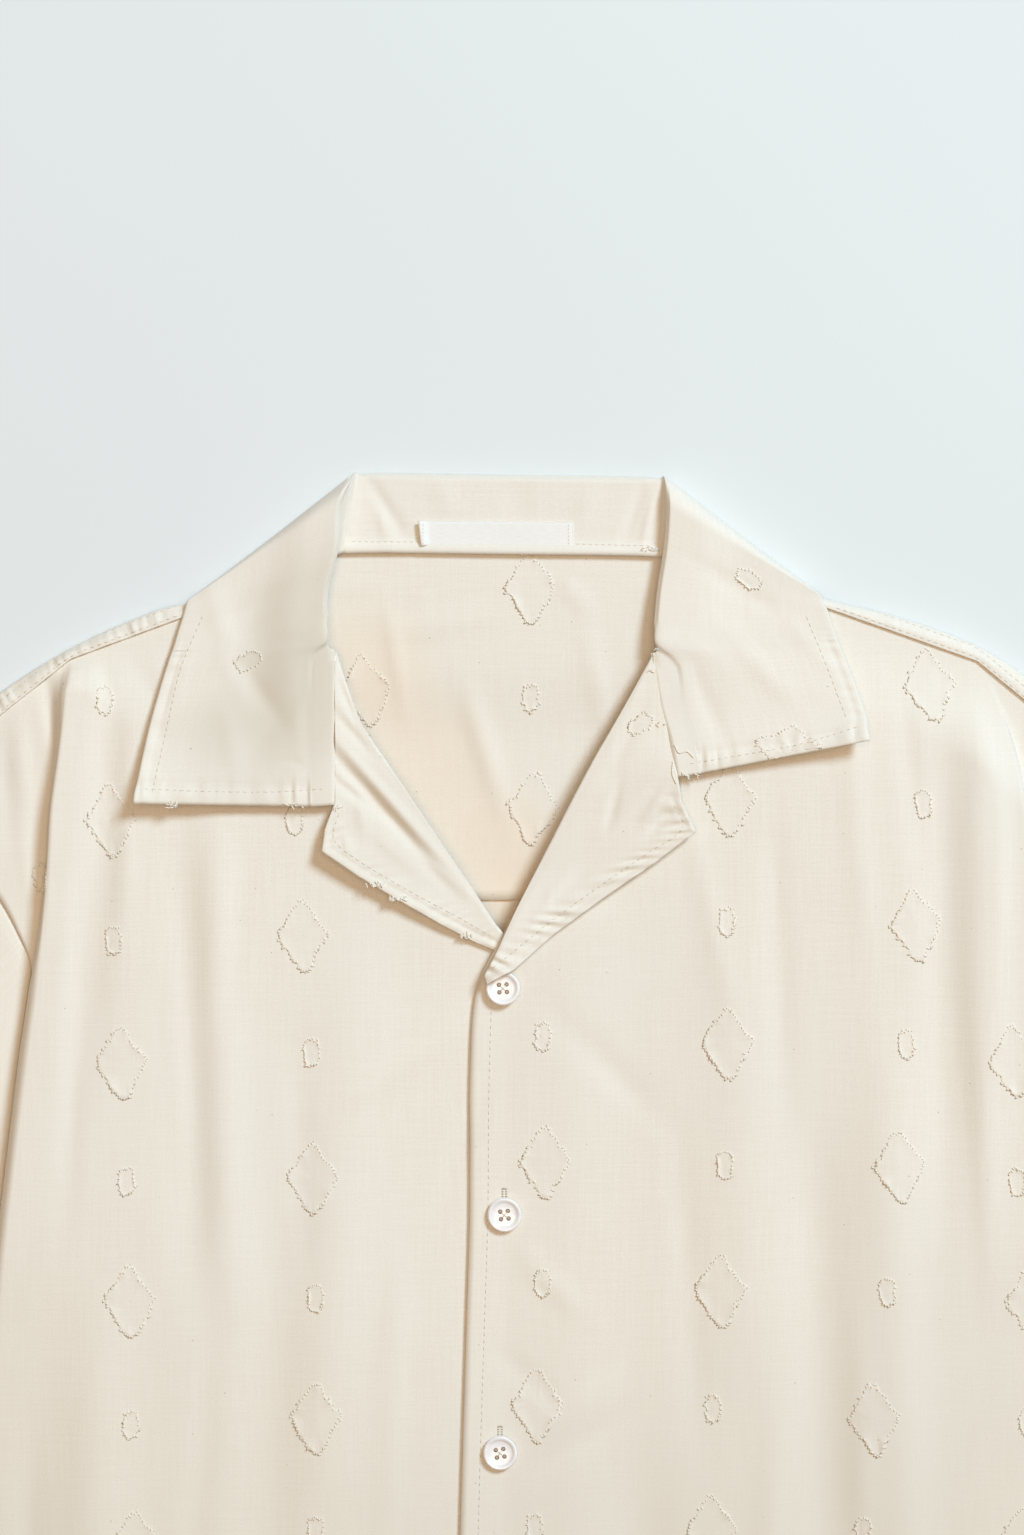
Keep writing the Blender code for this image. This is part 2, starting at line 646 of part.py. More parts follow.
def build_collar(parent):
    sheet("collar", COLLAR_ROWS, COLLAR_COLUMNS, collar_point, COLLAR_WALL, (0.06, 0.6), parent,
          "cotton")


LAPEL_ROWS = 20
LAPEL_COLUMNS = 6


def lapel_point(side, u, v):
    """u down the lapel, v from the roll line to the outer edge."""
    table = LAPELS[side]
    row = row_at(table, u, ("edge_a", "edge_d"))
    across = mix(row.roll_a, row.edge_a, v)
    down = mix(row.roll_d, row.edge_d, v)
    height = LAPEL_GAP + COLLAR_WALL + row.lift * v * v
    if side == "left":
        height += bump_height(OVER_BUTTON, across, down)
    return front_place(side, across, down, height)


def build_facing(side, parent):
    def place(u, v):
        return lapel_point(side, u, v)

    sheet("facing_" + side, LAPEL_ROWS, LAPEL_COLUMNS, place, COLLAR_WALL, (0.5, 0.5), parent,
          "cotton")


SLEEVE_RING = 22
SLEEVE_ROWS = 11


def armhole(side, part):
    """Place and height of the armhole seam, from the shoulder (0) to the underarm (1)."""
    top = SLEEVE_TOP[side]
    under = UNDERARM[side]
    rows = [row for row in FRONTS[side] if row.outer_down < under.down - 12.0]
    keys = [top.down] + column(rows, "outer_down") + [under.down]
    values = [top.across] + column(rows, "outer_across") + [under.across]
    down = mix(top.down, under.down, part)
    across = curve(keys, values, down)
    level = read_row(HEIGHTS, "down", down)
    height = mix(SEAM_HEIGHT, level.outer, eased(down, *ARMHOLE_FALL))
    return across, down, height


def sleeve_point(side, u, v):
    """u round the flattened tube from the top fold, v from the armhole to the cuff."""
    turn = u * 2.0 * math.pi
    part = (1.0 - math.cos(turn)) / 2.0
    part = mix(part, part * part * (3.0 - 2.0 * part), -0.35)
    across, down, height = armhole(side, part)
    cuff_top, cuff_low = SLEEVE_CUFFS[side]
    cuff_across = mix(cuff_top.across, cuff_low.across, part)
    cuff_down = mix(cuff_top.down, cuff_low.down, part)
    run_a = cuff_across - across
    run_d = cuff_down - down
    length = math.hypot(run_a, run_d)
    start = mix(SLEEVE_GAP, UNDERARM_GAP, eased(down, *UNDERARM_FROM)) / length
    along = mix(start, 1.0, v)
    low = eased(part, *UNDERARM_SHARE)
    roundness = abs(math.sin(turn)) ** mix(TOP_FOLD_POWER, LOW_FOLD_POWER, low)
    crown = height + SLEEVE_CROWN * math.sin(math.pi * along) * math.sin(math.pi * part)
    crown = mix(crown, CUFF_HEIGHT, eased(along, mix(0.3, 0.0, low), mix(1.0, 0.15, low)))
    ripple = SLEEVE_RIPPLE * math.sin(math.pi * along) * math.sin(5.0 * math.pi * part + 0.6)
    crown += ripple
    middle = crown / 2.0
    if math.sin(turn) >= 0.0:
        level = middle + (crown - middle) * roundness
    else:
        level = middle * (1.0 - min(1.0, roundness * 1.35))
    return point(across + run_a * along, down + run_d * along, level)


def build_sleeve(side, parent):
    def place(u, v):
        return sleeve_point(side, u, v)

    sheet("sleeve_" + side, SLEEVE_RING, SLEEVE_ROWS, place, WALL, (0.25, 0.5), parent, "cotton")


def build_label(parent):
    """Blank neck label, sewn on the stand by its ends."""
    first, last = LABEL_CORNERS

    def place(u, v):
        across = mix(first.across, last.across, u)
        down = mix(first.down, last.down, v) + 0.6 * u
        height = 2.0 * COLLAR_WALL + 3.0 * GAP + LABEL_WALL
        height += 1.2 * (1.0 - eased(u, 0.0, 0.12))
        return point(across, down, height)

    sheet("label", 12, 2, place, LABEL_WALL, (0.5, 0.5), parent, "label_tape")


def build_button(number, spot, parent, cutters):
    """Four-hole shirt button with a raised rim, turned and then drilled."""
    radius = BUTTON_WIDTH / 2.0
    reach = [
        front_height("left", spot.across + radius * dx, spot.down + radius * dd)
        for dx in (-1.0, 0.0, 1.0)
        for dd in (-1.0, 0.0, 1.0)
    ]
    base = max(reach) + GAP
    half = BUTTON_THICK / 2.0
    profile = [
        (radius * 0.55, 0.0),
        (radius * 0.86, 0.35),
        (radius, half),
        (radius * 0.93, BUTTON_THICK),
        (radius * 0.80, BUTTON_THICK * 0.97),
        (radius * 0.68, BUTTON_THICK * 0.66),
    ]
    rings = bmesh.new()
    verts = [rings.verts.new((x * MM, 0.0, z * MM)) for x, z in profile]
    edges = [rings.edges.new(pair) for pair in zip(verts, verts[1:])]
    bmesh.ops.spin(
        rings, geom=verts + edges, axis=(0.0, 0.0, 1.0), cent=(0.0, 0.0, 0.0),
        steps=20, angle=2.0 * math.pi, use_merge=True,
    )
    rims = [edge for edge in rings.edges if edge.is_boundary]
    bmesh.ops.holes_fill(rings, edges=rims, sides=0)
    bmesh.ops.recalc_face_normals(rings, faces=rings.faces[:])
    name = "button_%d" % number
    mesh = bpy.data.meshes.new(name)
    rings.to_mesh(mesh)
    rings.free()
    item = finish_object(name, mesh, parent, "button_shell")
    item.location = point(spot.across, spot.down, base)
    drill = bmesh.new()
    for dx in (-1.0, 1.0):
        for dy in (-1.0, 1.0):
            made = bmesh.ops.create_cone(
                drill, cap_ends=True, segments=6, radius1=BUTTON_HOLE / 2.0 * MM,
                radius2=BUTTON_HOLE / 2.0 * MM, depth=3.0 * BUTTON_THICK * MM,
            )
            shift = Vector((dx, dy, 0.0)) * BUTTON_HOLE_OFFSET * MM
            bmesh.ops.translate(drill, verts=made["verts"], vec=shift)
    drill_mesh = bpy.data.meshes.new("holes_of_" + name)
    drill.to_mesh(drill_mesh)
    drill.free()
    cutter = bpy.data.objects.new("holes_of_" + name, drill_mesh)
    cutter.location = item.location
    cutter.hide_render = True
    cutter.display_type = "WIRE"
    cutters.objects.link(cutter)
    cut = item.modifiers.new("Holes", "BOOLEAN")
    cut.operation = "DIFFERENCE"
    cut.object = cutter


def build_shirt():
    for item in list(bpy.data.objects):
        bpy.data.objects.remove(item, do_unlink=True)
    shirt = bpy.data.collections.new("jacquard_shirt")
    cutters = bpy.data.collections.new("cutters")
    bpy.context.scene.collection.children.link(shirt)
    bpy.context.scene.collection.children.link(cutters)
    build_back(shirt)
    build_yoke(shirt)
    for side in ("right", "left"):
        build_front(side, shirt)
        build_facing(side, shirt)
        build_sleeve(side, shirt)
    build_collar(shirt)
    build_label(shirt)
    for number, spot in enumerate(BUTTONS, start=1):
        build_button(number, spot, shirt, cutters)


build_shirt()
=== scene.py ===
"""Looks of the short-sleeved camp collar shirt, laid flat on its back and buttoned.

The cloth lies on the plane z = 0 with its collar towards +Y and its wearer's left towards +X.
Tables are in millimetres: across from the middle (+ to the wearer's left), down from the top
of the collar, and height above the surface. Meshes are in metres.
"""
import math
import random
from collections import namedtuple
from functools import partial

import bmesh
import bpy
import numpy as np
from mathutils import Matrix, Vector
from mathutils.bvhtree import BVHTree


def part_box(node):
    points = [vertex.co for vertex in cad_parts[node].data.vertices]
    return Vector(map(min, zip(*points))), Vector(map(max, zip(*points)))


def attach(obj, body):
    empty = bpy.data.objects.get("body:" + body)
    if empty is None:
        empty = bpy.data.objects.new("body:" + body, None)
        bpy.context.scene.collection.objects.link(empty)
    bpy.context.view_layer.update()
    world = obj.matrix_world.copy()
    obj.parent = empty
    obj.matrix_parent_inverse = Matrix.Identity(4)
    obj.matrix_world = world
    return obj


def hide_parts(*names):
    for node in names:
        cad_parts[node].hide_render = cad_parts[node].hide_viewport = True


bl_info = {
    "name": "Camp Collar Shirt",
    "version": (1, 0, 0),
    "blender": (4, 5, 0),
    "location": "3D View > Sidebar > Shirt",
    "description": "Builds the cloth, sewing, buttons and stage of a laid-out shirt",
    "category": "Object",
}

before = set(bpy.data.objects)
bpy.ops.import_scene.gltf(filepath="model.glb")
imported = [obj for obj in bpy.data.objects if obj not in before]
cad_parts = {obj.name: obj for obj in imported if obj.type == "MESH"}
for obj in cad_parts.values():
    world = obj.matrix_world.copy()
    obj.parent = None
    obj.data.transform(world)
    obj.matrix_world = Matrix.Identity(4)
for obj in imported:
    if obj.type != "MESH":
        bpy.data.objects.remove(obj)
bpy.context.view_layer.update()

MM = 0.001
LENGTH = 735.0
COLLAR_WALL = 2.0
GAP = 0.3
SEAM_LAP = 0.8
SEAM_PUCKER = 0.62
SEAM_HEIGHT = 8.0
COLLAR_LAP = 1.8
BAND_RISE = 1.9
HEM_ROLL = 0.36
LEAF_LEAN = 2.6
END_LIFT = 3.4
STITCH_DIP = 0.4
YOKE_DOWN = 179.0
YOKE_LIFT = 2.5
OVERLAP_STEP = 2.2
SLEEVE_TUCK = 1.5
CUFF_HEIGHT = 9.5
LAPEL_GAP = 0.7
FOLD_REACH = 1.6
TWIST_RISE = 0.9
SLEEVE_CROWN = 5.0
SLEEVE_RIPPLE = 1.4
TOP_FOLD_POWER = 0.4
LOW_FOLD_POWER = 0.28

# How far a crease runs out at its ends, and how far the fronts take to rise from the shoulder
# seam beside each side fold
CREASE_END = 40.0
FOLD_RISE = {"right": 14.0, "left": 48.0}

# Bands over which a shape comes in, from none at the first number to all of it at the second
CREASES_FROM = (50.0, 110.0)
CREASE_MARGIN = (0.0, 14.0)
SHOULDER_RISE = (0.0, 42.0)
OVERLAP_ACROSS = (22.0, 58.0)
OVERLAP_DOWN = (165.0, 190.0)
ARMHOLE_FALL = (126.0, 165.0)
OPEN_FOLD_END = (150.0, 205.0)
FALL_BESIDE = (134.0, 165.0)
FALL_BELOW = (80.0, 115.0)
UNDERARM_SHARE = (0.35, 0.8)
STAND_FADE = (46.0, 104.0)
LEAN_FADE = (60.0, 135.0)
FOLD_NEAR = (0.0, 34.0)

# Step between the collar's rows at the right and left leaf's front end, and the ends' lift
END_STEPS = (22.5, 15.0)
END_REACH = 17.0

# Points closer than this, in metres, are one
MERGE = 0.00001
WHOLE_TURN = 2.0 * math.pi

# Stage, in metres, but for the camera's sensor
SENSOR = 36.0
CAMERA_OVER = (0.0021, 0.243, 0.012)
LIGHT_AIM = Vector((0.0, 0.2, 0.0))
GROUND_DROP = 0.0004


def rows_of(kind, rows):
    """A table whose rows are of one kind."""
    return [kind(*map(float, row)) for row in rows]


def named_rows(kind, lists):
    return {name: rows_of(kind, rows) for name, rows in lists.items()}


# Each row runs from the front edge (neckline, roll line, then button edge) over the side fold
# to the outer edge (armhole, then side seam).
FrontRow = namedtuple(
    "FrontRow", "edge_across edge_down fold_across fold_down outer_across outer_down"
)
FRONT_RIGHT = rows_of(FrontRow, [
    (-102, 47.7, -183.5, 78, -250, 131), (-94, 62, -185, 92, -238, 146),
    (-75, 79, -186.3, 106, -226, 163), (-63, 103, -188.3, 122, -213, 181),
    (-45, 130, -191, 142, -206, 194), (-25, 160, -192.6, 170, -200.5, 207.5),
    (-2, 195, -195.4, 210, -201.8, 222), (11, 222, -199.2, 240, -205.4, 246),
    (13, 260, -203.2, 272, -209.2, 277), (13, 313, -208.6, 318, -214.8, 322),
    (13, 360, -213, 364, -221, 366), (12, 438, -221, 440, -229, 440),
    (11, 560, -230, 561, -238, 561), (9, 735, -238, 735, -246, 735),
])
FRONT_LEFT = rows_of(FrontRow, [
    (102, 45, 198, 79, 254, 126), (86, 62, 205, 94, 244, 143), (64, 81, 211, 110, 236, 160),
    (44.5, 107, 216, 130, 229, 180), (31.5, 130, 218, 150, 224.5, 194),
    (12.5, 167, 219, 178, 223.8, 206), (-2, 195.5, 219.4, 206, 225.4, 220),
    (-12.5, 217, 221.4, 232, 227.4, 240), (-15.3, 250, 224.4, 262, 230.2, 268),
    (-15.6, 313, 227.4, 320, 233.2, 324), (-17, 360, 228, 364, 236, 366),
    (-19.4, 440, 233, 440, 241, 440), (-22, 560, 238, 561, 246, 561),
    (-25, 735, 244, 735, 252, 735),
])
FRONTS = {"right": FRONT_RIGHT, "left": FRONT_LEFT}
SIDES = tuple(FRONTS)

# Height of the fronts' outer face at the middle, half way, at the side fold and at the outer edge
HeightRow = namedtuple("HeightRow", "down middle half fold outer")
HEIGHTS = rows_of(HeightRow, [
    (40, 9, 9.5, 10, 8), (100, 13, 13, 15.5, 8.5), (160, 12, 14, 18.5, 8.5),
    (205, 9.5, 14.5, 19, 8), (250, 9, 14.5, 19, 7.5), (322, 9, 14.5, 18.5, 6.5),
    (366, 9, 14.5, 16, 2), (440, 9, 14, 14.5, 2), (560, 9, 13, 13, 2), (735, 9, 11.5, 11.5, 2),
])

# Soft folds and hollows of the fronts: a line on the cloth, its half width and its height
Crease = namedtuple("Crease", "across down end_across end_down width height")
CREASES = rows_of(Crease, [
    (-122, 150, -117, 330, 9, 2.2), (-137, 160, -131, 340, 9, -1.6), (-166, 95, -176, 250, 7, -2),
    (-62, 205, -78, 420, 16, 1.8), (-96, 300, -104, 520, 15, -2.2),
    (-170, 360, -182, 640, 14, 2.4), (-140, 470, -150, 700, 12, -2.2),
    (-50, 520, -58, 735, 16, 2.2), (129, 285, 134, 470, 12, -2.6), (158, 240, 170, 560, 13, 2.4),
    (200, 85, 198, 330, 9, 2.2), (182, 120, 184, 300, 9, -2), (96, 190, 100, 380, 14, 1.6),
    (56, 430, 70, 640, 15, -2), (120, 540, 128, 735, 15, 2.4), (190, 470, 204, 735, 13, -2.2),
    (14, 404, 40, 384, 5, 1.2),
])

# Rises over the under lapel's end and over the top button
Bump = namedtuple("Bump", "across down width length height")
UNDER_LAPEL = Bump(-4.0, 198.0, 16.0, 15.0, 2.6)
OVER_BUTTON = Bump(-3.0, 213.0, 13.0, 11.0, 3.4)

# The fold from the side fold's crest outwards, above the underarm: reach and level as shares
OpenStep = namedtuple("OpenStep", "reach level")
OPEN_FOLD = rows_of(OpenStep, [
    (0, 1), (0.035, 0.8), (0.075, 0.42), (0.16, 0.06), (0.38, -0.1), (0.7, -0.04), (1, 0),
])

# Shoulder line seen from above, from the wearer's right to left
EdgePoint = namedtuple("EdgePoint", "across down")
SHOULDER_LINE = rows_of(EdgePoint, [
    (-256, 124), (-213, 92), (-183, 73.5), (-149, 58.5), (-133, 54.5), (-110, 45), (-84, 36),
    (-70, 33), (0, 33.6), (65, 34.4), (84, 35), (110, 43), (131, 52.5), (165, 61), (197, 72.7),
    (217, 84.8), (257, 118),
])
NECK_EDGES = (72.0, 101.0)
NECK_STRIP = 10.2
COLLAR_CORNERS = (EdgePoint(-64.5, 0.6), EdgePoint(66.4, 2.1))
LEAF_ROOTS = (EdgePoint(-77.0, 71.0), EdgePoint(65.5, 74.0))

# Collar, from the right leaf's front end round the neck to the left leaf's. Each row gives the
# neck seam, the fold and the outer edge; layer is 1 on the fronts and 0 under the yoke, doubled
# is 1 where the stand lies folded under the leaf, and lift is the outer edge's rise.
CollarRow = namedtuple(
    "CollarRow", "seam_a seam_d fold_a fold_d edge_a edge_d layer doubled lift"
)
COLLAR = rows_of(CollarRow, [
    (-72.8, 140.2, -82, 140.9, -155.4, 139.6, 1, 0, 6.5),
    (-73.2, 118, -82, 118, -151.5, 116.5, 1, 0, 3.4), (-73, 97, -82, 96.5, -147.2, 98, 1, 0, 2.4),
    (-73, 79, -81, 78, -142.2, 80, 1, 0, 1.8),
    (-75.8, 72.5, -74.6, 71.5, -140.2, 74, 1, 0.5, 1.5),
    (-85, 67, -75, 63, -138.5, 68, 1, 1, 1.2), (-86, 54, -74.8, 50, -136, 60, 1, 1, 0.8),
    (-81, 41, -70.6, 32, -134.8, 55, 1, 1, 0.2), (-75, 36, -69.6, 14, -134, 54, 1, 1, 0),
    (-69.8, 32.6, -64.5, 0.6, -132.4, 52.8, 0.45, 1, 0),
    (-67, 32.4, -62.5, 0.4, -128.6, 54, 0, 1, 0), (-58, 32.2, -54, 0, -112, 63, 0, 1, 0),
    (-42, 32.2, -40, 0.2, -80, 71, 0, 1, 0), (0, 32.8, 0, 0.9, 0, 74.5, 0, 1, 0),
    (42, 33.2, 42, 1.4, 80, 71, 0, 1, 0), (56, 33.5, 57, 1.7, 111, 62, 0, 1, 0),
    (63, 33.8, 64.4, 2, 125, 51.6, 0, 1, 0), (65.4, 34, 66.4, 2.1, 129, 49.6, 0.45, 1, 0),
    (71, 36, 67, 15, 131.8, 52, 1, 1, 0), (76.5, 42, 65.9, 31, 133, 54.4, 1, 1, 0.2),
    (75, 55, 63, 50, 134.4, 57.5, 1, 1, 0.8), (72, 70, 61.6, 66, 137, 65, 1, 1, 1),
    (63, 74.5, 62.2, 73.4, 138.8, 70, 1, 0.5, 1.1), (62.6, 81, 70.5, 80.5, 140.6, 75, 1, 0, 1.2),
    (65.2, 98, 73.5, 97, 146.2, 90, 1, 0, 1.6), (69.3, 113, 78, 111.5, 149.8, 102, 1, 0, 2.4),
    (72, 128.3, 81, 127, 151.2, 113.2, 1, 0, 6),
])

# Turned lapels: the roll line and the outer edge (gorge seam, notch, tip, then lower edge)
LapelRow = namedtuple("LapelRow", "roll_a roll_d edge_a edge_d lift")
LAPELS = named_rows(LapelRow, {
    "right": [
        (-71.4, 76, -71.9, 80, 0), (-67, 90, -72, 100, 0), (-61, 106, -71.9, 122, 0.8),
        (-54, 118.5, -71.9, 139.5, 3.2), (-46, 128.5, -76.2, 150.8, 5),
        (-40, 137.5, -77.3, 159.6, 6.6), (-31, 151, -62, 170.1, 5.6),
        (-22.5, 163.5, -45, 180.2, 4.4), (-13, 177.5, -27, 190.6, 2.4),
        (-6, 188.5, -13, 198, 0.4), (-1.5, 194, -4.5, 201.5, 0),
    ],
    "left": [
        (60.6, 78, 61.8, 82, 0), (53, 92, 64.2, 98, 0), (44.5, 107, 68.4, 113, 0.2),
        (37.5, 119, 71.4, 128.6, 3), (31, 131, 73, 138.5, 3.4), (25, 142.5, 79, 151.4, 3.8),
        (18.9, 154.6, 62.2, 164.2, 3.4), (12, 168, 40.3, 179.3, 2.6),
        (3.6, 184.5, 20.6, 193.6, 1.6), (-4, 201, 3, 208.8, 2), (-9.6, 211.5, -8.6, 215, 1.6),
    ],
})

# Sleeves: the cuff's two corners, the size of the cloth map in metres, and the armhole's ends
SLEEVE_CUFFS = {
    "right": (EdgePoint(-410.0, 309.0), EdgePoint(-257.0, 438.0)),
    "left": (EdgePoint(410.0, 302.0), EdgePoint(268.0, 442.0)),
}
SLEEVE_MAP = (0.20, 0.17)
UNDERARM_CLEAR = 12.0
UNDERARM = {"right": EdgePoint(-223.0, 340.0), "left": EdgePoint(241.0, 342.0)}
SLEEVE_TOP = {"right": EdgePoint(-256.6, 124.6), "left": EdgePoint(257.8, 118.6)}

# Neck label: its corners, the stitch rows at its ends, and its thickness in metres
LABEL_CORNERS = (EdgePoint(-37.4, 20.6), EdgePoint(27.7, 31.0))
LABEL_ENDS = (-35.4, 25.9)
LABEL_WALL = 0.0005

BUTTONS = rows_of(EdgePoint, [
    (-1.7, 217.1), (-1.1, 312.3), (-2.9, 412.2), (-5, 512), (-7.2, 612),
])

# A button's outline from the middle of its back to the middle of its front, and its four holes
BUTTON_PROFILE = [
    (0.0, 0.30), (5.2, 0.20), (6.5, 0.45), (7.15, 1.1), (7.2, 1.7), (6.95, 2.25),
    (6.5, 2.55), (6.0, 2.5), (5.55, 2.2), (5.2, 1.9), (4.6, 1.75), (2.4, 1.68), (0.0, 1.66),
]
HOLE_REACH = 2.25
HOLE_RADIUS = 0.95

# Buttonholes: stitches down each edge, a millimetre apart, from their upper end to the button
SLIT_STITCHES = 17
SLIT_ASIDE = 0.75
SLIT_REACH = 10.6
ALONG = Vector((1.0, 0.0, 0.0))

# Finer creases of the fronts, lapels and collar leaves
FINE_CREASES = rows_of(Crease, [
    (-163, 66, -150, 92, 4, -1.4), (-172, 72, -166, 96, 3.4, -1), (-176, 72, -174, 92, 3, 0.9),
    (-152, 62, -146, 84, 3.4, 1), (-10, 262, -26, 300, 5, -0.9), (8, 330, 30, 352, 4.5, 0.8),
    (-2, 372, 22, 392, 3.5, -0.7), (16, 418, 46, 398, 4, -1), (-24, 236, -60, 262, 5, 0.7),
    (24, 232, 60, 268, 6, -0.8), (-112, 176, -118, 232, 5, -0.9),
    (-140, 200, -136, 300, 4.5, 0.8), (-158, 120, -160, 190, 4, 0.8),
    (-88, 250, -84, 330, 6, -0.8), (-46, 330, -50, 440, 6, 0.8),
    (-178, 180, -184, 300, 4.5, -1.3), (-124, 360, -132, 470, 6, -0.9),
    (-72, 470, -66, 560, 7, 0.9), (-200, 420, -206, 560, 6, -1.1), (-20, 470, -42, 520, 5, -0.8),
    (78, 150, 92, 220, 5, 0.8), (112, 150, 116, 260, 5, -0.9), (144, 110, 150, 200, 6, 0.9),
    (166, 90, 172, 160, 4.5, -0.9), (208, 120, 206, 230, 4, 0.9), (192, 240, 196, 340, 5, -1.1),
    (72, 280, 80, 400, 6, -0.8), (112, 400, 108, 500, 6, 0.9), (148, 360, 150, 460, 6, 0.9),
    (24, 540, 52, 580, 5, -0.8), (150, 560, 160, 700, 7, -1), (-100, 600, -92, 720, 7, 1),
    (34, 640, 28, 735, 6, 0.9), (214, 560, 222, 700, 6, 1),
])
OPEN_CREASES = rows_of(Crease, [
    (-194, 88, -190, 116, 3, -1.8), (-206, 106, -203, 140, 3.4, 1.4),
    (-214, 112, -211, 150, 3.4, -1.4), (-204, 150, -202, 186, 3, 1), (226, 100, 224, 140, 3.6, 1),
])
LAPEL_CREASES = rows_of(Crease, [
    (-71.4, 120.5, -34, 163, 2.8, -2.6), (-67, 118, -30, 160, 2.4, 1.4),
    (-40, 158, -20, 175, 2.4, 0.8), (-71.8, 102, -57, 119, 2.2, -1),
    (-72.7, 129, -55, 143.5, 2, -1.5), (-71, 88, -62, 108, 1.8, -0.8),
    (-68, 153, -66, 160, 1.6, 0.7), (47, 132, 42, 150, 2.2, -0.9), (66, 134, 58, 146, 2, 0.9),
    (70, 140, 60, 152, 1.8, -0.9), (-62, 134, -60, 152, 3, 0.8), (-58, 150, -38, 168, 3, 0.5),
    (56, 100, 44, 126, 3, -0.6), (62, 128, 40, 156, 3.5, 0.6), (48, 152, 20, 180, 2.6, -0.6),
    (24, 170, 6, 198, 2.4, 0.5),
])
LEAF_CREASES = rows_of(Crease, [
    (-108, 54, -104, 118, 12, -2.4), (-92, 76, -88, 108, 8, 0.9), (-96, 66, -128, 84, 4, 0.7),
    (-84, 92, -110, 120, 4.5, -0.8), (-118, 100, -112, 132, 4, 0.7),
    (-142, 86, -146, 126, 3.5, -0.6), (-88, 122.5, -73.6, 124.5, 1.6, -1.1),
    (-86, 128, -73.6, 126.8, 1.4, 0.9), (-84, 133.5, -73.6, 130.5, 1.5, -0.8),
    (-81, 104.5, -73.6, 106.5, 1.5, -0.7), (-81, 113, -73.6, 114, 1.5, 0.7),
    (-124, 50, -112, 96, 5, 1), (-116, 76, -96, 104, 4, -0.8), (-80, 44, -112, 60, 4, -0.6),
    (82, 40, 112, 58, 4, -0.6), (92, 66, 118, 96, 4.5, 0.7), (78, 84, 92, 116, 4, -0.7),
    (118, 62, 136, 84, 3.5, 0.6),
])
BAND_CREASES = rows_of(Crease, [
    (-58, 4, -43, 27, 2.6, -1), (-64, 8, -67, 26, 2.4, 0.8), (-54, 16, -50, 30, 2.4, 0.6),
    (-28, 3, -24, 18, 4, 0.6), (6, 4, 2, 19, 4.5, -0.6), (36, 5, 30, 24, 4, 0.6),
    (58, 4, 50, 26, 2.6, -0.7), (61, 14, 57, 30, 1.8, 0.7),
])
YOKE_CREASES = rows_of(Crease, [
    (-68, 46, -20, 39.5, 2.8, 1.6), (-66, 41, -26, 36, 2, -0.8), (28, 40, 62, 46.5, 2.8, 1.6),
    (20, 44, 34, 56, 2.4, 1), (-16, 96, -3, 138, 5, 1.5), (-46, 66, -10, 62, 3.4, 1),
    (-50, 60, -44, 96, 4, 0.8), (34, 70, 42, 110, 5, 0.8),
])

# Painted shade in the cloth: soft spots of a shade colour, each with its place and reach
# in a piece's own cloth map, and its strength
Tone = namedtuple("Tone", "x y reach depth")
# Painted warm shade in the hollow inside the neck, on the back, the yoke and the yoke's figures
NECK_SHADE_SPOTS = rows_of(Tone, [
    (-60, 283, 40, 0.42), (-34, 243, 42, 0.38), (-4, 209, 36, 0.45), (6, 182, 30, 0.5),
])
# Painted shade on the right collar leaf, which leans away from the light
LEAF_SHADES = rows_of(Tone, [
    (62, 102, 42, 0.6), (64, 68, 42, 0.75), (68, 36, 40, 0.9), (80, 20, 30, 0.75),
    (24, 64, 46, 0.75), (24, 32, 42, 0.75),
])
# Painted shade on the right lapel
LAPEL_SHADES = rows_of(Tone, [(-52, 216, 56, 0.34)])
# Painted shade on the figure that lies on the right collar leaf
LEAF_FIGURE_SHADES = rows_of(Tone, [(-108, 287.5, 60, 0.9)])
# Painted shade, darker towards the hems of the fronts and of their figures
HEM_SHADES = rows_of(Tone, [(-170, -250, 340, 0.7), (190, -250, 350, 0.75)])

# Woven figures: the middle of each and its lean in degrees, on the piece that shows it
Figure = namedtuple("Figure", "across down lean")
LARGE_FIGURES = named_rows(Figure, {
    "cloth_front_right": [
        (-165.9, 146.6, 4), (-85.7, 194.9, 2), (-161.3, 248.2, 3), (-81.5, 296.9, 1),
        (-157.9, 348.2, 2), (-80.2, 397.7, 0), (-155.4, 451.1, 2), (-153.7, 551.9, 1),
        (-152, 652.7, 1), (-79.4, 495.2, 1), (-77.7, 596, 1), (-76, 696.8, 1), (-234.4, 398.6, 2),
        (-233.5, 499.4, 2), (-232.7, 600.2, 2), (-231.8, 701, 2),
    ],
    "cloth_front_left": [
        (177.7, 89.9, 8), (93.7, 138.2, -2), (171.4, 190.7, 6), (92.4, 240.2, 0),
        (164.2, 291.5, 5), (16, 290.2, 0), (89.5, 344, 2), (12.6, 392.3, 0), (153.7, 397.3, 4),
        (86.1, 444.8, 2), (83.6, 545.6, 1), (81.1, 646.4, 1), (148.3, 495.2, 1), (145.7, 596, 1),
        (143.2, 696.8, 1), (10.5, 494.3, 1), (8, 595.1, 1), (5.5, 695.9, 1), (219.7, 348.2, 2),
        (217.1, 449, 2), (214.6, 549.8, 2), (212.1, 650.6, 2), (212.1, 247.4, 6),
    ],
    "cloth_collar": [(118.9, 117.6, 76)],
    "cloth_sleeve_right": [(-292, 208, 38), (-318, 300, 38), (-258, 330, 38)],
    "cloth_sleeve_left": [(294, 204, -38), (322, 298, -38), (274, 334, -38)],
    "cloth_yoke": [(9.7, 48.7, 2), (10.9, 141.5, -6), (-59.6, 92, 10)],
})
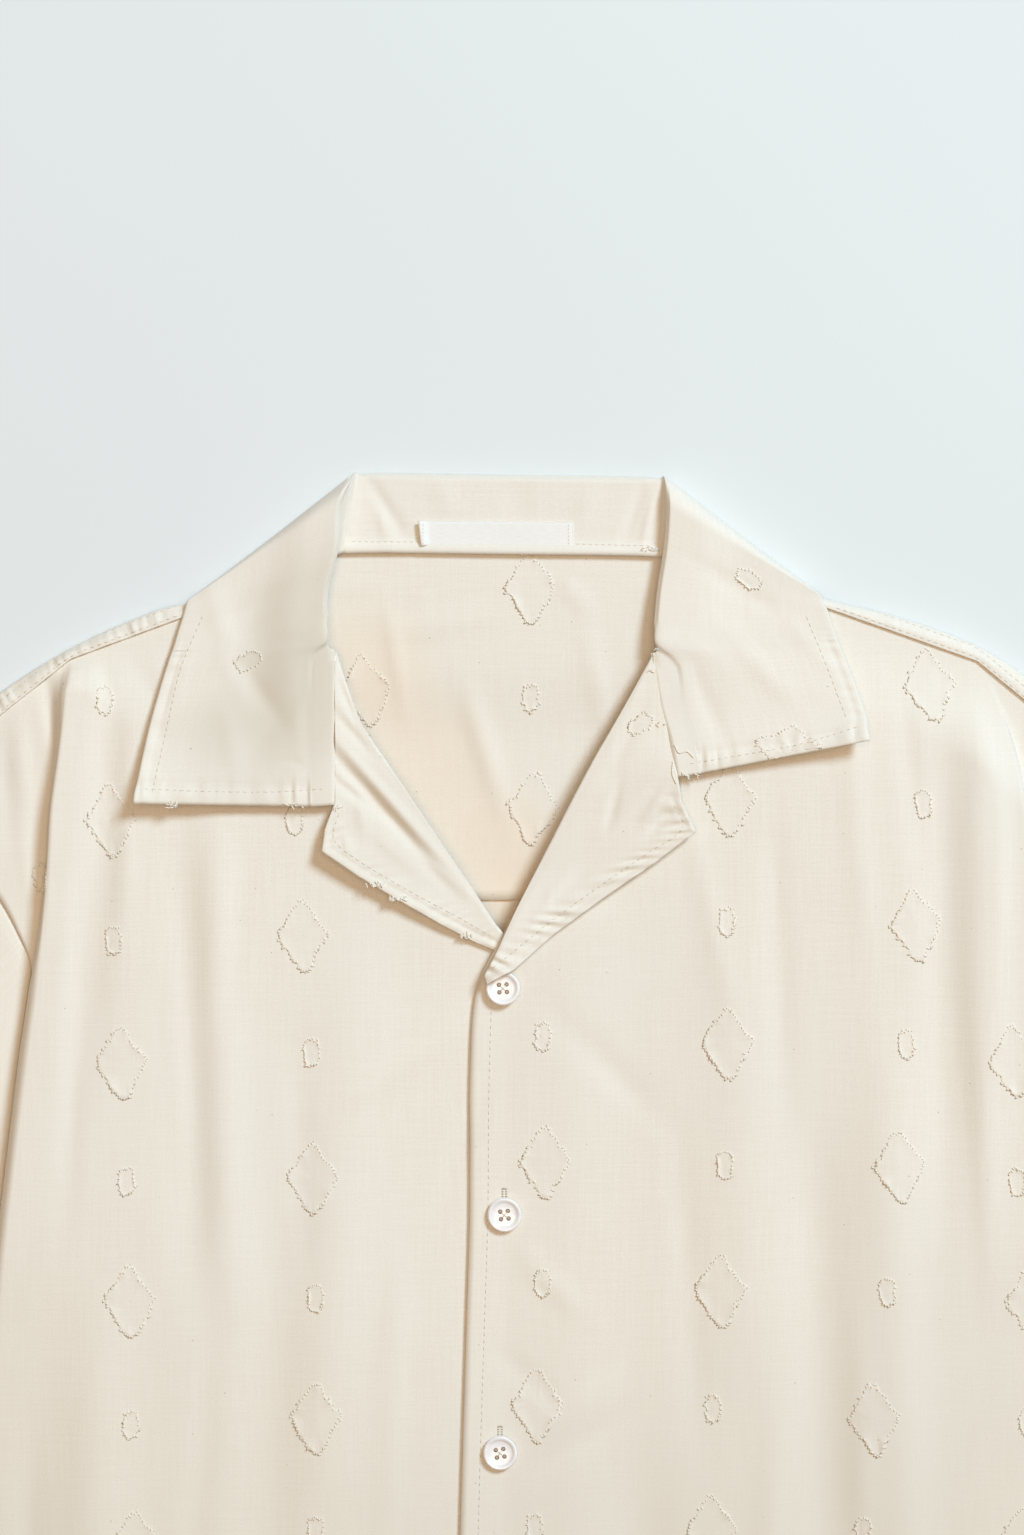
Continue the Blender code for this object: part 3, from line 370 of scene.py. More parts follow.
SMALL_FIGURES = named_rows(Figure, {
    "cloth_front_right": [
        (-196, 170.9, 12), (-168.8, 96.2, 6), (-89, 146.6, 4), (-164.6, 197, 4), (-81.9, 244, 2),
        (-159.2, 297.8, 2), (-80.2, 347.3, 0), (-157.5, 399.8, 2), (-80.2, 444.8, 0),
        (-154.6, 501.5, 1), (-152.9, 602.3, 1), (-151.2, 703.1, 1), (-78.5, 545.6, 1),
        (-76.9, 646.4, 1), (-234.8, 348.2, 2), (-233.9, 449, 2), (-233.1, 549.8, 2),
        (-232.3, 650.6, 2),
    ],
    "cloth_front_left": [
        (174.7, 139.9, 8), (92.4, 189, 0), (167.2, 240.2, 6), (15.1, 237.7, 0), (91.6, 291.1, 2),
        (15.1, 341, 0), (159.2, 344, 5), (86.5, 393.5, 2), (149.5, 444.8, 4), (11.8, 443.9, 0),
        (84.8, 495.2, 1), (82.3, 596, 1), (79.8, 696.8, 1), (147, 545.6, 1), (144.5, 646.4, 1),
        (9.2, 544.7, 1), (6.7, 645.5, 1), (218.4, 398.6, 2), (215.9, 499.4, 2), (213.4, 600.2, 2),
        (210.8, 701, 2), (213.4, 297.8, 6),
    ],
    "cloth_collar": [(-108.4, 79.8, -60), (101.6, 45.2, 60)],
    "cloth_facing_left": [(55.9, 106.3, -55)],
    "cloth_sleeve_right": [(-268, 262, 38), (-342, 256, 38), (-300, 352, 38)],
    "cloth_sleeve_left": [(276, 258, -38), (344, 252, -38), (306, 352, -38)],
    "cloth_yoke": [(10.1, 94.9, 0)],
})

FRONT_INNER = 0.714
YOKE_FLAT = 5.0 / 11.0
FALL_SHARES = (0.12, 0.34, 0.6, 0.88, 1.0)


def share(value, low, high):
    """Place of value between low and high, held inside 0 to 1."""
    return np.clip((value - low) / (high - low), 0.0, 1.0)


def eased(value, low, high):
    """Smooth step from 0 at low to 1 at high."""
    part = share(value, low, high)
    return part * part * (3.0 - 2.0 * part)


def hump(value, width):
    """Rounded hump: 1 at 0, falling away on both sides over a width."""
    return np.exp(-((value / width) ** 2))


def mix(first, second, part):
    return first + (second - first) * part


def curve(keys, values, key):
    """Smooth curve through a table: values at rising or falling keys, read at key."""
    keys = np.asarray(keys, float)
    values = np.asarray(values, float)
    if keys[0] > keys[-1]:
        keys = keys[::-1]
        values = values[::-1]
    last = len(keys) - 1
    order = np.arange(last + 1)
    low = np.maximum(order - 1, 0)
    high = np.minimum(order + 1, last)
    slope = (values[high] - values[low]) / (keys[high] - keys[low])
    key = np.clip(key, keys[0], keys[-1])
    row = np.clip(np.searchsorted(keys, key) - 1, 0, last - 1)
    step = keys[row + 1] - keys[row]
    part = (key - keys[row]) / step
    square = part * part
    cube = square * part
    return (
        values[row] * (2.0 * cube - 3.0 * square + 1.0)
        + slope[row] * step * (cube - 2.0 * square + part)
        + values[row + 1] * (3.0 * square - 2.0 * cube)
        + slope[row + 1] * step * (cube - square)
    )


def column(table, name):
    return np.array([getattr(row, name) for row in table])


def read_row(table, key, place):
    """One row of a table at a place on the smooth curves through its columns."""
    keys = column(table, key)
    return type(table[0])(*[curve(keys, column(table, name), place) for name in table[0]._fields])


def row_at(table, part, straight=()):
    """One row at a share of the way down a table; the columns named straight keep corners."""
    place = np.asarray(part) * (len(table) - 1)
    low = np.minimum(place.astype(int), len(table) - 2)
    values = []
    for name in table[0]._fields:
        numbers = column(table, name)
        if name in straight:
            values.append(mix(numbers[low], numbers[low + 1], place - low))
        else:
            values.append(curve(np.arange(len(table)), numbers, place))
    return type(table[0])(*values)


def point(across, down, height):
    """World places in metres of points of the laid-out shirt."""
    parts = np.broadcast_arrays(across * MM, (LENGTH / 2.0 - down) * MM, height * MM)
    return np.stack(parts, axis=-1)


def crease_height(table, across, down):
    """Sum of a table's soft folds and hollows at places on the cloth."""
    total = 0.0
    for crease in table:
        run_a = crease.end_across - crease.across
        run_d = crease.end_down - crease.down
        length = math.hypot(run_a, run_d)
        off_a = across - crease.across
        off_d = down - crease.down
        along = (off_a * run_a + off_d * run_d) / length
        aside = (off_a * run_d - off_d * run_a) / length
        end = min(CREASE_END, length / 2.0)
        fade = eased(along, -end, end) * (1.0 - eased(along, length - end, length + end))
        total = total + crease.height * fade * hump(aside, crease.width)
    return total


def bump_height(bump, across, down):
    """A rounded rise of the cloth over something that lies under it."""
    off_a = (across - bump.across) / bump.width
    off_d = (down - bump.down) / bump.length
    return bump.height * np.exp(-(off_a * off_a) - off_d * off_d)


def seam_down(side, across):
    """The shoulder seam's place on a front, straight from the neck over the side fold."""
    first = FRONTS[side][0]
    inner = (across - first.edge_across) / (first.fold_across - first.edge_across)
    outer = (across - first.fold_across) / (first.outer_across - first.fold_across)
    return np.where(
        np.abs(across) < abs(first.fold_across),
        mix(first.edge_down, first.fold_down, inner),
        mix(first.fold_down, first.outer_down, outer),
    )


def front_height(side, across, down):
    """Outer face of a front inside its side fold; the left one steps up over the right."""
    level = read_row(HEIGHTS, "down", down)
    right = np.abs(read_row(FRONTS["right"], "fold_down", down).fold_across)
    left = np.abs(read_row(FRONTS["left"], "fold_down", down).fold_across)
    fold = np.where(across < 0.0, right, left)
    part = share(np.abs(across), 0.0, fold)
    middle = level.middle * (1.0 - part) * (1.0 - 2.0 * part)
    half = level.half * 4.0 * part * (1.0 - part)
    crest = level.fold * part * (2.0 * part - 1.0)
    height = middle + half + crest
    inside = eased(fold - np.abs(across), *CREASE_MARGIN)
    soft = crease_height(CREASES, across, down) + crease_height(FINE_CREASES, across, down)
    height = height + soft * inside * eased(down, *CREASES_FROM)
    near = 1.0 - eased(fold - np.abs(across), *FOLD_NEAR)
    reach = mix(SHOULDER_RISE[1], FOLD_RISE[side], near)
    rise = eased((down - seam_down(side, across)) / reach, 0.0, 1.0)
    height = mix(SEAM_HEIGHT, height, rise)
    if side == "left":
        step = (1.0 - eased(across, *OVERLAP_ACROSS)) * eased(down, *OVERLAP_DOWN)
        height = height + OVERLAP_STEP * step + bump_height(UNDER_LAPEL, across, down)
    return height


def station(part):
    """Rows lie closer together at the shoulder than at the hem."""
    return 0.4 * part + 0.6 * part * part


def front_point(side, u, v):
    """u from the front edge over the fold to the outer edge, v from shoulder to hem."""
    table = FRONTS[side]
    place = mix(table[0].fold_down, table[-1].fold_down, station(v))
    row = read_row(table, "fold_down", place)
    inner = share(u, 0.0, FRONT_INNER)
    across_in = mix(row.edge_across, row.fold_across, inner)
    down_in = mix(row.edge_down, row.fold_down, inner)
    height_in = front_height(side, across_in, down_in)
    level = read_row(HEIGHTS, "down", row.outer_down)
    crest = front_height(side, row.fold_across, row.fold_down)
    foot = mix(SEAM_HEIGHT, level.outer, eased(row.outer_down, *ARMHOLE_FALL))
    step = share(u, FRONT_INNER, 1.0)
    keys = np.linspace(0.0, 1.0, len(OPEN_FOLD))
    opened = 1.0 - eased(row.fold_down, *OPEN_FOLD_END)
    bend = step * math.pi / 2.0
    reach = mix(np.sin(bend), curve(keys, column(OPEN_FOLD, "reach"), step), opened)
    fall = mix(np.cos(bend), curve(keys, column(OPEN_FOLD, "level"), step), opened)
    drop = crest - foot
    drop = np.where(fall < 0.0, np.clip(drop, 0.0, 6.0), drop)
    across_out = mix(row.fold_across, row.outer_across, reach)
    down_out = mix(row.fold_down, row.outer_down, reach)
    beside = crease_height(OPEN_CREASES, across_out, down_out) * np.sin(math.pi * step)
    folded = point(across_out, down_out, foot + drop * fall + beside)
    flat = point(across_in, down_in, height_in)
    return np.where((u <= FRONT_INNER)[..., None], flat, folded)


def outer_edge(side, down):
    """Armhole and side seam of the back, under the fronts' outer edge."""
    return read_row(FRONTS[side], "outer_down", down).outer_across


def shoulder_point(across):
    return curve(column(SHOULDER_LINE, "across"), column(SHOULDER_LINE, "down"), across)


def yoke_lift(across, down):
    """Rise of the yoke over the collar's fall, which lies under it."""
    beside = 1.0 - eased(np.abs(across), *FALL_BESIDE)
    below = 1.0 - eased(down, *FALL_BELOW)
    return YOKE_LIFT * beside * below


def on_side(across, function):
    """A function of side and place, read on whichever side each place lies."""
    return np.where(across < 0.0, function("right"), function("left"))


def seam_reach(across, top, in_a, in_d):
    """Distance in from the shoulder line to just past the shoulder seam."""
    reach = np.full_like(across, 6.0)
    for _ in range(6):
        end = across + in_a * reach
        seam = on_side(across, lambda side: seam_down(side, end))
        reach = (seam + SEAM_LAP - top) / in_d
    return reach


def yoke_edge_shift(side, across_now, down):
    """How far the straight outer edge of the yoke lies from the curved armhole."""
    end = SHOULDER_LINE[0] if side == "right" else SHOULDER_LINE[-1]
    low = outer_edge(side, YOKE_DOWN)
    part = share(down, end.down, YOKE_DOWN)
    straight = mix(end.across, low, part)
    middle = eased(down, end.down, end.down + 10.0)
    share_out = share(np.abs(across_now), 0.6 * np.abs(straight), np.abs(straight))
    return (outer_edge(side, down) - straight) * middle * share_out ** 2


def yoke_point(u, v):
    """u from the right shoulder point to the left, v from the yoke seam over the shoulder."""
    across = mix(SHOULDER_LINE[0].across, SHOULDER_LINE[-1].across, u)
    top = shoulder_point(across)
    seam_across = mix(outer_edge("right", YOKE_DOWN), outer_edge("left", YOKE_DOWN), u)
    tilt = np.arctan2(shoulder_point(across + 2.0) - shoulder_point(across - 2.0), 4.0)
    in_a = -np.sin(tilt)
    in_d = np.cos(tilt)
    low = yoke_lift(across, top)
    radius = (SEAM_HEIGHT - low) / 2.0
    rolled = eased(np.abs(across), *NECK_EDGES)
    turn = math.pi * rolled
    over = math.pi * radius + seam_reach(across, top, in_a, in_d) - radius
    strip = mix(NECK_STRIP, over, rolled) * (1.0 - 0.45 * np.sin(turn))
    inset = mix(strip, radius, rolled)
    start_a = across + in_a * inset
    start_d = top + in_d * inset
    part = share(v, 0.0, YOKE_FLAT)
    place_a = mix(seam_across, start_a, part)
    place_d = mix(YOKE_DOWN + 1.6, start_d, part)
    place_a = place_a + on_side(across, lambda side: yoke_edge_shift(side, place_a, place_d))
    lift = yoke_lift(place_a, place_d) + 1.25 * (1.0 - eased(v, 0.0, 0.03))
    lift = lift + crease_height(YOKE_CREASES, place_a, place_d)
    flat = point(place_a, place_d, lift)
    run = share(v, YOKE_FLAT, 1.0) * strip
    bent = np.minimum(run / radius, turn)
    rest = run - bent * radius
    out = radius * np.sin(bent) + rest * np.cos(bent)
    rise = radius * (1.0 - np.cos(bent)) + rest * np.sin(bent)
    welt = eased(v, 0.80, 0.93) * rolled
    pucker = 0.5 * np.sin(across * 0.62 + 1.4 * np.sin(across * 0.17))
    fine = np.sin(across * 1.5 + 2.2 * np.sin(across * 0.29) + np.sin(across * 0.83) + 3.0 * v)
    pucker = pucker + fine * (0.62 + 0.38 * np.sin(across * 0.23 + 0.7))
    pucker = pucker * np.sin(math.pi * share(v, 0.70, 1.02)) * np.where(across < 0.0, 1.0, 0.3)
    rise = rise + 1.3 * welt + SEAM_PUCKER * pucker * rolled
    rolled_up = point(start_a - in_a * out, start_d - in_d * out, low + rise)
    return np.where((v <= YOKE_FLAT)[..., None], flat, rolled_up)


def collar_point(u, v):
    """u along the collar from the right leaf to the left, v from the neck seam over the fold."""
    row = row_at(COLLAR, u)
    stand_width = np.hypot(row.seam_a - row.fold_a, row.seam_d - row.fold_d)
    fall_width = np.hypot(row.edge_a - row.fold_a, row.edge_d - row.fold_d)
    turn = FOLD_REACH / stand_width
    root = FOLD_REACH / fall_width
    shares = [-1.0 - COLLAR_LAP / stand_width, -0.5 - turn / 2.0, -turn, turn * 0.0, root]
    shares = np.array(shares + [turn * 0.0 + number for number in FALL_SHARES])
    step = v * (len(shares) - 1)
    low = np.minimum(step.astype(int), len(shares) - 2)
    pick = np.arange(step.size)
    place = mix(shares[low, pick], shares[low + 1, pick], step - low)
    stand = np.minimum(place, 0.0)
    fall = np.maximum(place, 0.0)
    beyond = np.maximum(-1.0 - place, 0.0) * stand_width
    across = row.fold_a + (row.fold_a - row.seam_a) * stand + (row.edge_a - row.fold_a) * fall
    down = row.fold_d + (row.fold_d - row.seam_d) * stand + (row.edge_d - row.fold_d) * fall
    twist = 4.0 * row.doubled * (1.0 - row.doubled)
    clear = 2.0 * GAP + TWIST_RISE * twist * (1.0 - eased(fall, 0.05, 0.3))
    base = np.where(
        row.seam_a < 0.0,
        front_height("right", across, np.maximum(down, seam_down("right", across))),
        front_height("left", across, np.maximum(down, seam_down("left", across))),
    )
    on_top = base + clear
    single = on_top + COLLAR_WALL
    double = single + COLLAR_WALL + GAP
    fold = (on_top + double) / 2.0
    thick = 2.0 * COLLAR_WALL + 2.0 * GAP
    near = share(-place, 0.0, turn)
    leaf_stand = mix(single, mix(fold, on_top, near), row.doubled)
    under_stand = mix(thick / 2.0, thick, near)
    near = share(place, 0.0, root)
    folded = mix(mix(fold, double, near), single, eased(fall, 0.2, 0.5))
    leaf_fall = mix(single, folded, 1.0 - eased(down, *STAND_FADE)) + row.lift * fall * fall
    under_fall = mix(thick / 2.0, 0.0, near)
    leaf = np.where(place <= 0.0, leaf_stand, leaf_fall)
    under = np.where(place <= 0.0, under_stand, under_fall)
    height = mix(under, leaf, eased(row.layer, 0.0, 1.0))
    open_leaf = eased(row.layer, 0.5, 1.0)
    band = (1.0 - eased(row.layer, 0.0, 0.5)) * eased(-place, 0.0, 0.15)
    height = height - 0.9 * beyond * open_leaf
    height = height + leaf_lean(across, down) * open_leaf * (1.0 - fall) ** 2
    end = np.minimum(u * END_STEPS[0], (1.0 - u) * END_STEPS[1]) * (len(COLLAR) - 1)
    height = height + END_LIFT * hump(end, END_REACH) * open_leaf
    height = height + BAND_RISE * (1.0 - eased(place + 1.0, 0.0, 0.14)) * band
    height = height + crease_height(BAND_CREASES, across, down) * band
    height = height + leaf_ripple(u, fall, row, across, (1.0 - fall) * fall_width, end)
    fine = crease_height(LEAF_CREASES, across, down)
    height = height + fine * eased(fall, 0.02, 0.12) * open_leaf
    return point(across, down, height)


def leaf_lean(across, down):
    """Rise of the right leaf's and lapel's inner parts, which lean away from the light."""
    return LEAF_LEAN * (1.0 - eased(down, *LEAN_FADE)) * (across < 0.0)


def leaf_ripple(u, fall, row, across, inset, end):
    """Rolled edges, stitch lines and the puckers between them on the collar's leaves."""
    on_leaf = eased(row.layer, 0.5, 1.0) * (fall > 0.0)
    single = 1.0 - row.doubled
    side_wave = np.sin(u * 310.0 + 2.1 * np.sin(u * 47.0)) + 0.6 * np.sin(u * 173.0 + 1.0)
    end_wave = np.sin(across * 0.78 + 1.9 * np.sin(across * 0.21)) + 0.5 * np.sin(across * 1.9)
    height = -HEM_ROLL * (hump(inset, 0.9) + hump(end, 1.1))
    height = height - STITCH_DIP * hump(inset - 4.2, 1.3) * single
    height = height - STITCH_DIP * hump(end - 7.6, 1.8)
    height = height + 0.24 * side_wave * hump(inset - 3.6, 3.6) * single
    height = height + 0.46 * end_wave * hump(end - 5.0, 4.4)
    return height * on_leaf


def lapel_point(side, u, v):
    """u down the lapel, v from the roll line to the outer edge."""
    row = row_at(LAPELS[side], u, ("edge_a", "edge_d"))
    across = mix(row.roll_a, row.edge_a, v)
    down = mix(row.roll_d, row.edge_d, v)
    height = LAPEL_GAP + COLLAR_WALL + row.lift * v * v
    if side == "left":
        height = height + bump_height(OVER_BUTTON, across, down)
    wave = np.sin(u * 61.0 + 1.7 * np.sin(u * 17.0)) * hump(v - 0.86, 0.12)
    width = np.hypot(row.edge_a - row.roll_a, row.edge_d - row.roll_d)
    inset = (1.0 - v) * width
    free = share(u, 0.36, 0.42)
    roll = -0.5 * hump(v, 0.07) - HEM_ROLL * hump(inset, 0.9) * free
    roll = roll - STITCH_DIP * hump(inset - 3.6, 1.2) * free
    fine = np.sin(u * 176.0 + 2.6 * np.sin(u * 23.0) - 0.5 * inset)
    fine = fine * (0.62 + 0.38 * np.sin(u * 41.0 + 1.0)) * hump(inset - 5.5, 4.8)
    height = height + (0.25 * wave + (0.72 if side == "left" else 0.2) * fine) * free + roll
    height = height + crease_height(LAPEL_CREASES, across, down) + leaf_lean(across, down) * v
    return point(across, down, front_height(side, across, down) + height)


def armhole(side, part):
    """Place and height of the armhole seam, from the shoulder (0) to the underarm (1)."""
    top = SLEEVE_TOP[side]
    under = UNDERARM[side]
    rows = [row for row in FRONTS[side] if row.outer_down < under.down - UNDERARM_CLEAR]
    keys = np.concatenate(([top.down], column(rows, "outer_down"), [under.down]))
    values = np.concatenate(([top.across], column(rows, "outer_across"), [under.across]))
    down = mix(top.down, under.down, part)
    level = read_row(HEIGHTS, "down", down)
    height = mix(SEAM_HEIGHT, level.outer, eased(down, *ARMHOLE_FALL))
    return curve(keys, values, down), down, height


def sleeve_point(side, u, v):
    """u round the flattened tube from the top fold, v from the armhole to the cuff."""
    turn = u * WHOLE_TURN
    part = (1.0 - np.cos(turn)) / 2.0
    part = mix(part, part * part * (3.0 - 2.0 * part), -0.35)
    across, down, height = armhole(side, part)
    cuff_top, cuff_low = SLEEVE_CUFFS[side]
    run_a = mix(cuff_top.across, cuff_low.across, part) - across
    run_d = mix(cuff_top.down, cuff_low.down, part) - down
    length = np.hypot(run_a, run_d)
    start = -SLEEVE_TUCK / length
    along = mix(start, 1.0, v)
    low = eased(part, *UNDERARM_SHARE)
    roundness = np.abs(np.sin(turn)) ** mix(TOP_FOLD_POWER, LOW_FOLD_POWER, low)
    crown = height + SLEEVE_CROWN * np.sin(math.pi * along) * np.sin(math.pi * part)
    crown = mix(crown, CUFF_HEIGHT, eased(along, mix(0.3, 0.0, low), mix(1.0, 0.15, low)))
    ripple = np.sin(math.pi * along) * np.sin(5.0 * math.pi * part + 0.6)
    crown = crown + SLEEVE_RIPPLE * ripple
    middle = crown / 2.0
    over = middle + (crown - middle) * roundness
    under = middle * (1.0 - np.minimum(1.0, roundness * 1.35))
    tucked = 1.0 - eased(along * length, 0.0, 3.0)
    level = np.where(np.sin(turn) >= 0.0, over - 1.3 * tucked, under)
    level = np.maximum(level, 0.0)
    return point(across + run_a * along, down + run_d * along, level)


# Materials


def linear(red, green, blue):
    """A colour as seen on a screen, from 0 to 255, as light."""
    parts = [number / 255.0 for number in (red, green, blue)]
    return tuple([p / 12.92 if p <= 0.04045 else ((p + 0.055) / 1.055) ** 2.4 for p in parts])


class Value:
    """A shader socket that takes part in sums written in Python."""

    def __init__(self, tree, socket):
        self.tree = tree
        self.socket = socket

    def math(self, operation, *others, swap=False):
        made = self.tree.nodes.new("ShaderNodeMath")
        made.operation = operation
        terms = [self, *others]
        if swap:
            terms.reverse()
        for place, term in zip(made.inputs, terms):
            connect(self.tree, place, term)
        return Value(self.tree, made.outputs[0])

    def __add__(self, other):
        return self.math("ADD", other)

    def __sub__(self, other):
        return self.math("SUBTRACT", other)

    def __mul__(self, other):
        return self.math("MULTIPLY", other)

    def __rsub__(self, other):
        return self.math("SUBTRACT", other, swap=True)

    def __lt__(self, other):
        return self.math("LESS_THAN", other)

    __radd__ = __add__
    __rmul__ = __mul__

    def span(self, low, high):
        """0 below low, 1 above high, smooth between."""
        made = self.tree.nodes.new("ShaderNodeMapRange")
        made.interpolation_type = "SMOOTHSTEP"
        connect(self.tree, made.inputs["Value"], self)
        made.inputs["From Min"].default_value = low
        made.inputs["From Max"].default_value = high
        return Value(self.tree, made.outputs[0])


def connect(tree, place, term):
    if isinstance(term, Value):
        tree.links.new(term.socket, place)
    elif place.type == "RGBA" and len(term) == 3:
        place.default_value = (*term, 1.0)
    else:
        place.default_value = term


class Finish:
    """A material, with one method that makes its nodes."""

    def __init__(self, name, **fixed):
        self.material = bpy.data.materials.new(name)
        self.material.use_nodes = True
        self.tree = self.material.node_tree
        self.shader = self.tree.nodes["Principled BSDF"]
        for socket, number in fixed.items():
            connect(self.tree, self.shader.inputs[socket.replace("_", " ")], number)

    def node(self, kind, settings, inputs, out=0):
        made = self.tree.nodes.new(kind)
        for key, setting in settings.items():
            setattr(made, key, setting)
        for place, term in inputs.items():
            connect(self.tree, made.inputs[place], term)
        return Value(self.tree, made.outputs[out])

    def scaled(self, vector, scale):
        return self.node("ShaderNodeMapping", {}, {"Vector": vector, "Scale": scale})

    def noise(self, vector, scale, detail=3.0, rough=0.5):
        return self.node(
            "ShaderNodeTexNoise", {}, {"Vector": self.scaled(vector, scale), "Scale": 1.0,
                                       "Detail": detail, "Roughness": rough}, out="Fac",
        )

    def blend(self, part, first, second):
        made = self.tree.nodes.new("ShaderNodeMix")
        made.data_type = "RGBA"
        connect(self.tree, made.inputs["Factor"], part)
        connect(self.tree, made.inputs["A"], first)
        connect(self.tree, made.inputs["B"], second)
        return Value(self.tree, made.outputs["Result"])

    def relief(self, height, depth, strength):
        """A bump that feeds the shader's normal; depth is in metres."""
        bump = self.node(
            "ShaderNodeBump", {}, {"Height": height, "Distance": depth, "Strength": strength},
            out="Normal",
        )
        connect(self.tree, self.shader.inputs["Normal"], bump)

    def colour(self, value):
        connect(self.tree, self.shader.inputs["Base Color"], value)

    def cloth_map(self):
        return self.node("ShaderNodeUVMap", {"uv_map": "cloth"}, {})

    def place(self):
        return self.node("ShaderNodeTexCoord", {}, {}, out="Object")

    def two_tone(self, part, colour, low):
        """Colour that falls to a share of itself where part is 0."""
        tone = Vector(colour)
        self.colour(self.blend(part, tuple(tone * low), tuple(tone)))


def cotton_finish(name, sizes, spots=(), shade_colour=None):
    """Plain-weave cotton: fine grain, faint warp streaks, slubs, small seed flecks and painted
    shade.
    """
    finish = Finish(name, Roughness=0.95, Sheen_Weight=0.04, Sheen_Roughness=0.5,
                    Specular_IOR_Level=0.2)
    cloth = finish.cloth_map()
    streaks = finish.noise(cloth, (900.0, 34.0, 1.0), 3.0, 0.6)
    slubs = finish.noise(cloth, (40.0, 1100.0, 1.0), 3.0, 0.6)
    grain = finish.noise(cloth, (1300.0, 1300.0, 1.0), 2.0, 0.7)
    cloud = finish.noise(cloth, (9.0, 7.0, 1.0), 2.0, 0.5)
    turns = WHOLE_TURN / sizes.thread_pitch
    wave = finish.node("ShaderNodeSeparateXYZ", {}, {"Vector": finish.scaled(
        cloth, (turns, turns, 1.0))}, out="X")
    fill = Value(finish.tree, wave.socket.node.outputs["Y"])
    weave = wave.math("SINE") * fill.math("SINE")
    cells = finish.node("ShaderNodeTexVoronoi", {}, {"Vector": cloth, "Scale": 150.0})
    chance = finish.node("ShaderNodeSeparateColor", {}, {
        "Color": Value(finish.tree, cells.socket.node.outputs["Color"])})
    flecks = (cells < 0.042) * (chance < 0.32)
    fibres = streaks * 0.3 + slubs * 0.26 + grain * 0.44
    tint = finish.blend(fibres.span(0.41, 0.59), sizes.cotton_shade, sizes.cotton_light)
    tint = finish.blend(cloud.span(0.35, 0.7) * 0.35, tint, sizes.cotton_cool)
    # Painted shade: each spot blends the colour towards the shade colour, softly at its rim
    for spot in spots:
        middle = (spot.x * MM, spot.y * MM, 0.0)
        away = finish.node("ShaderNodeVectorMath", {"operation": "DISTANCE"},
                           {0: cloth, 1: middle}, out="Value")
        soft = (1.0 - away.span(0.2 * spot.reach * MM, spot.reach * MM)) * spot.depth
        tint = finish.blend(soft * (cloud.span(0.2, 0.6) * 0.5 + 0.5), tint, shade_colour)
    tint = finish.blend(flecks * 0.55, tint, sizes.fleck)
    finish.colour(tint)
    height = weave * 0.12 + streaks * 0.24 + slubs * 0.16 + grain * 0.5
    finish.relief(height, 0.00022, 0.5)
    return finish.material


# Cloth pieces

# Flat size in metres and area in square metres of each sheet's cut
Cut = namedtuple("Cut", "flat area")
CUTS = {
    "cloth_back": Cut((0.50, 0.557), 0.260),
    "cloth_yoke": Cut((0.515, 0.165), 0.0622),
    "cloth_front_right": Cut((0.265, 0.70), 0.156),
    "cloth_front_left": Cut((0.285, 0.70), 0.170),
    "cloth_collar": Cut((0.47, 0.115), 0.0356),
    "cloth_facing_right": Cut((0.15, 0.04), 0.0031),
    "cloth_facing_left": Cut((0.16, 0.045), 0.0041),
    "cloth_sleeve_right": Cut((0.42, 0.21), 0.067),
    "cloth_sleeve_left": Cut((0.41, 0.20), 0.061),
    "neck_label": Cut((0.0653, 0.0106), 0.00068),
}
CLOTH = {}


def mesh_of(grid, name):
    mesh = bpy.data.meshes.new(name)
    grid.to_mesh(mesh)
    grid.free()
    return mesh


def add_object(name, data):
    item = bpy.data.objects.new(name, data)
    bpy.context.scene.collection.objects.link(item)
    return item


def grid_mesh(name, columns, rows, place, cut, up_at=(0.5, 0.5), turned=False):
    """A sheet laid out by place(u, v); cut(u, v) gives its place in the cloth, in metres."""
    grid = bmesh.new()
    bmesh.ops.create_grid(grid, x_segments=columns, y_segments=rows, size=1.0)
    flat = np.array([vert.co for vert in grid.verts])
    u = np.clip((flat[:, 0] + 1.0) / 2.0, 0.0, 1.0)
    v = np.clip((flat[:, 1] + 1.0) / 2.0, 0.0, 1.0)
    for vert, place_of in zip(grid.verts, place(u, v)):
        vert.co = place_of
    small = 0.01
    u_at = np.array([up_at[0], up_at[0] + small, up_at[0]])
    v_at = np.array([up_at[1], up_at[1], up_at[1] + small])
    here, beside, below = [Vector(spot) for spot in place(u_at, v_at)]
    faces_up = (beside - here).cross(below - here).z > 0.0
    if faces_up == turned:
        bmesh.ops.reverse_faces(grid, faces=grid.faces[:])
    places = np.stack(cut(u, v), axis=-1)
    layer = grid.loops.layers.uv.new("cloth")
    for face in grid.faces:
        for loop in face.loops:
            loop[layer].uv = places[loop.vert.index]
    bmesh.ops.remove_doubles(grid, verts=grid.verts[:], dist=MERGE)
    mesh = mesh_of(grid, name)
    mesh.shade_smooth()
    return mesh


def add_piece(mesh, finish):
    item = add_object(mesh.name, mesh)
    mesh.materials.append(finish)
    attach(item, "root")
    return item


def add_cloth(mesh, node, finish, wall, rests_on=()):
    """A cloth piece with its own thickness, in place of the node named."""
    item = add_piece(mesh, finish)
    thick = item.modifiers.new("Wall", "SOLIDIFY")
    thick.thickness = wall
    thick.offset = -1.0
    thick.use_rim = True
    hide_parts(node)
    CLOTH[mesh.name] = item
    return item


def laid_cut(place):
    """Cloth places of a panel that lies as it was cut."""
    def cut(u, v):
        spots = place(u, v)
        return spots[:, 0], spots[:, 1]

    return cut


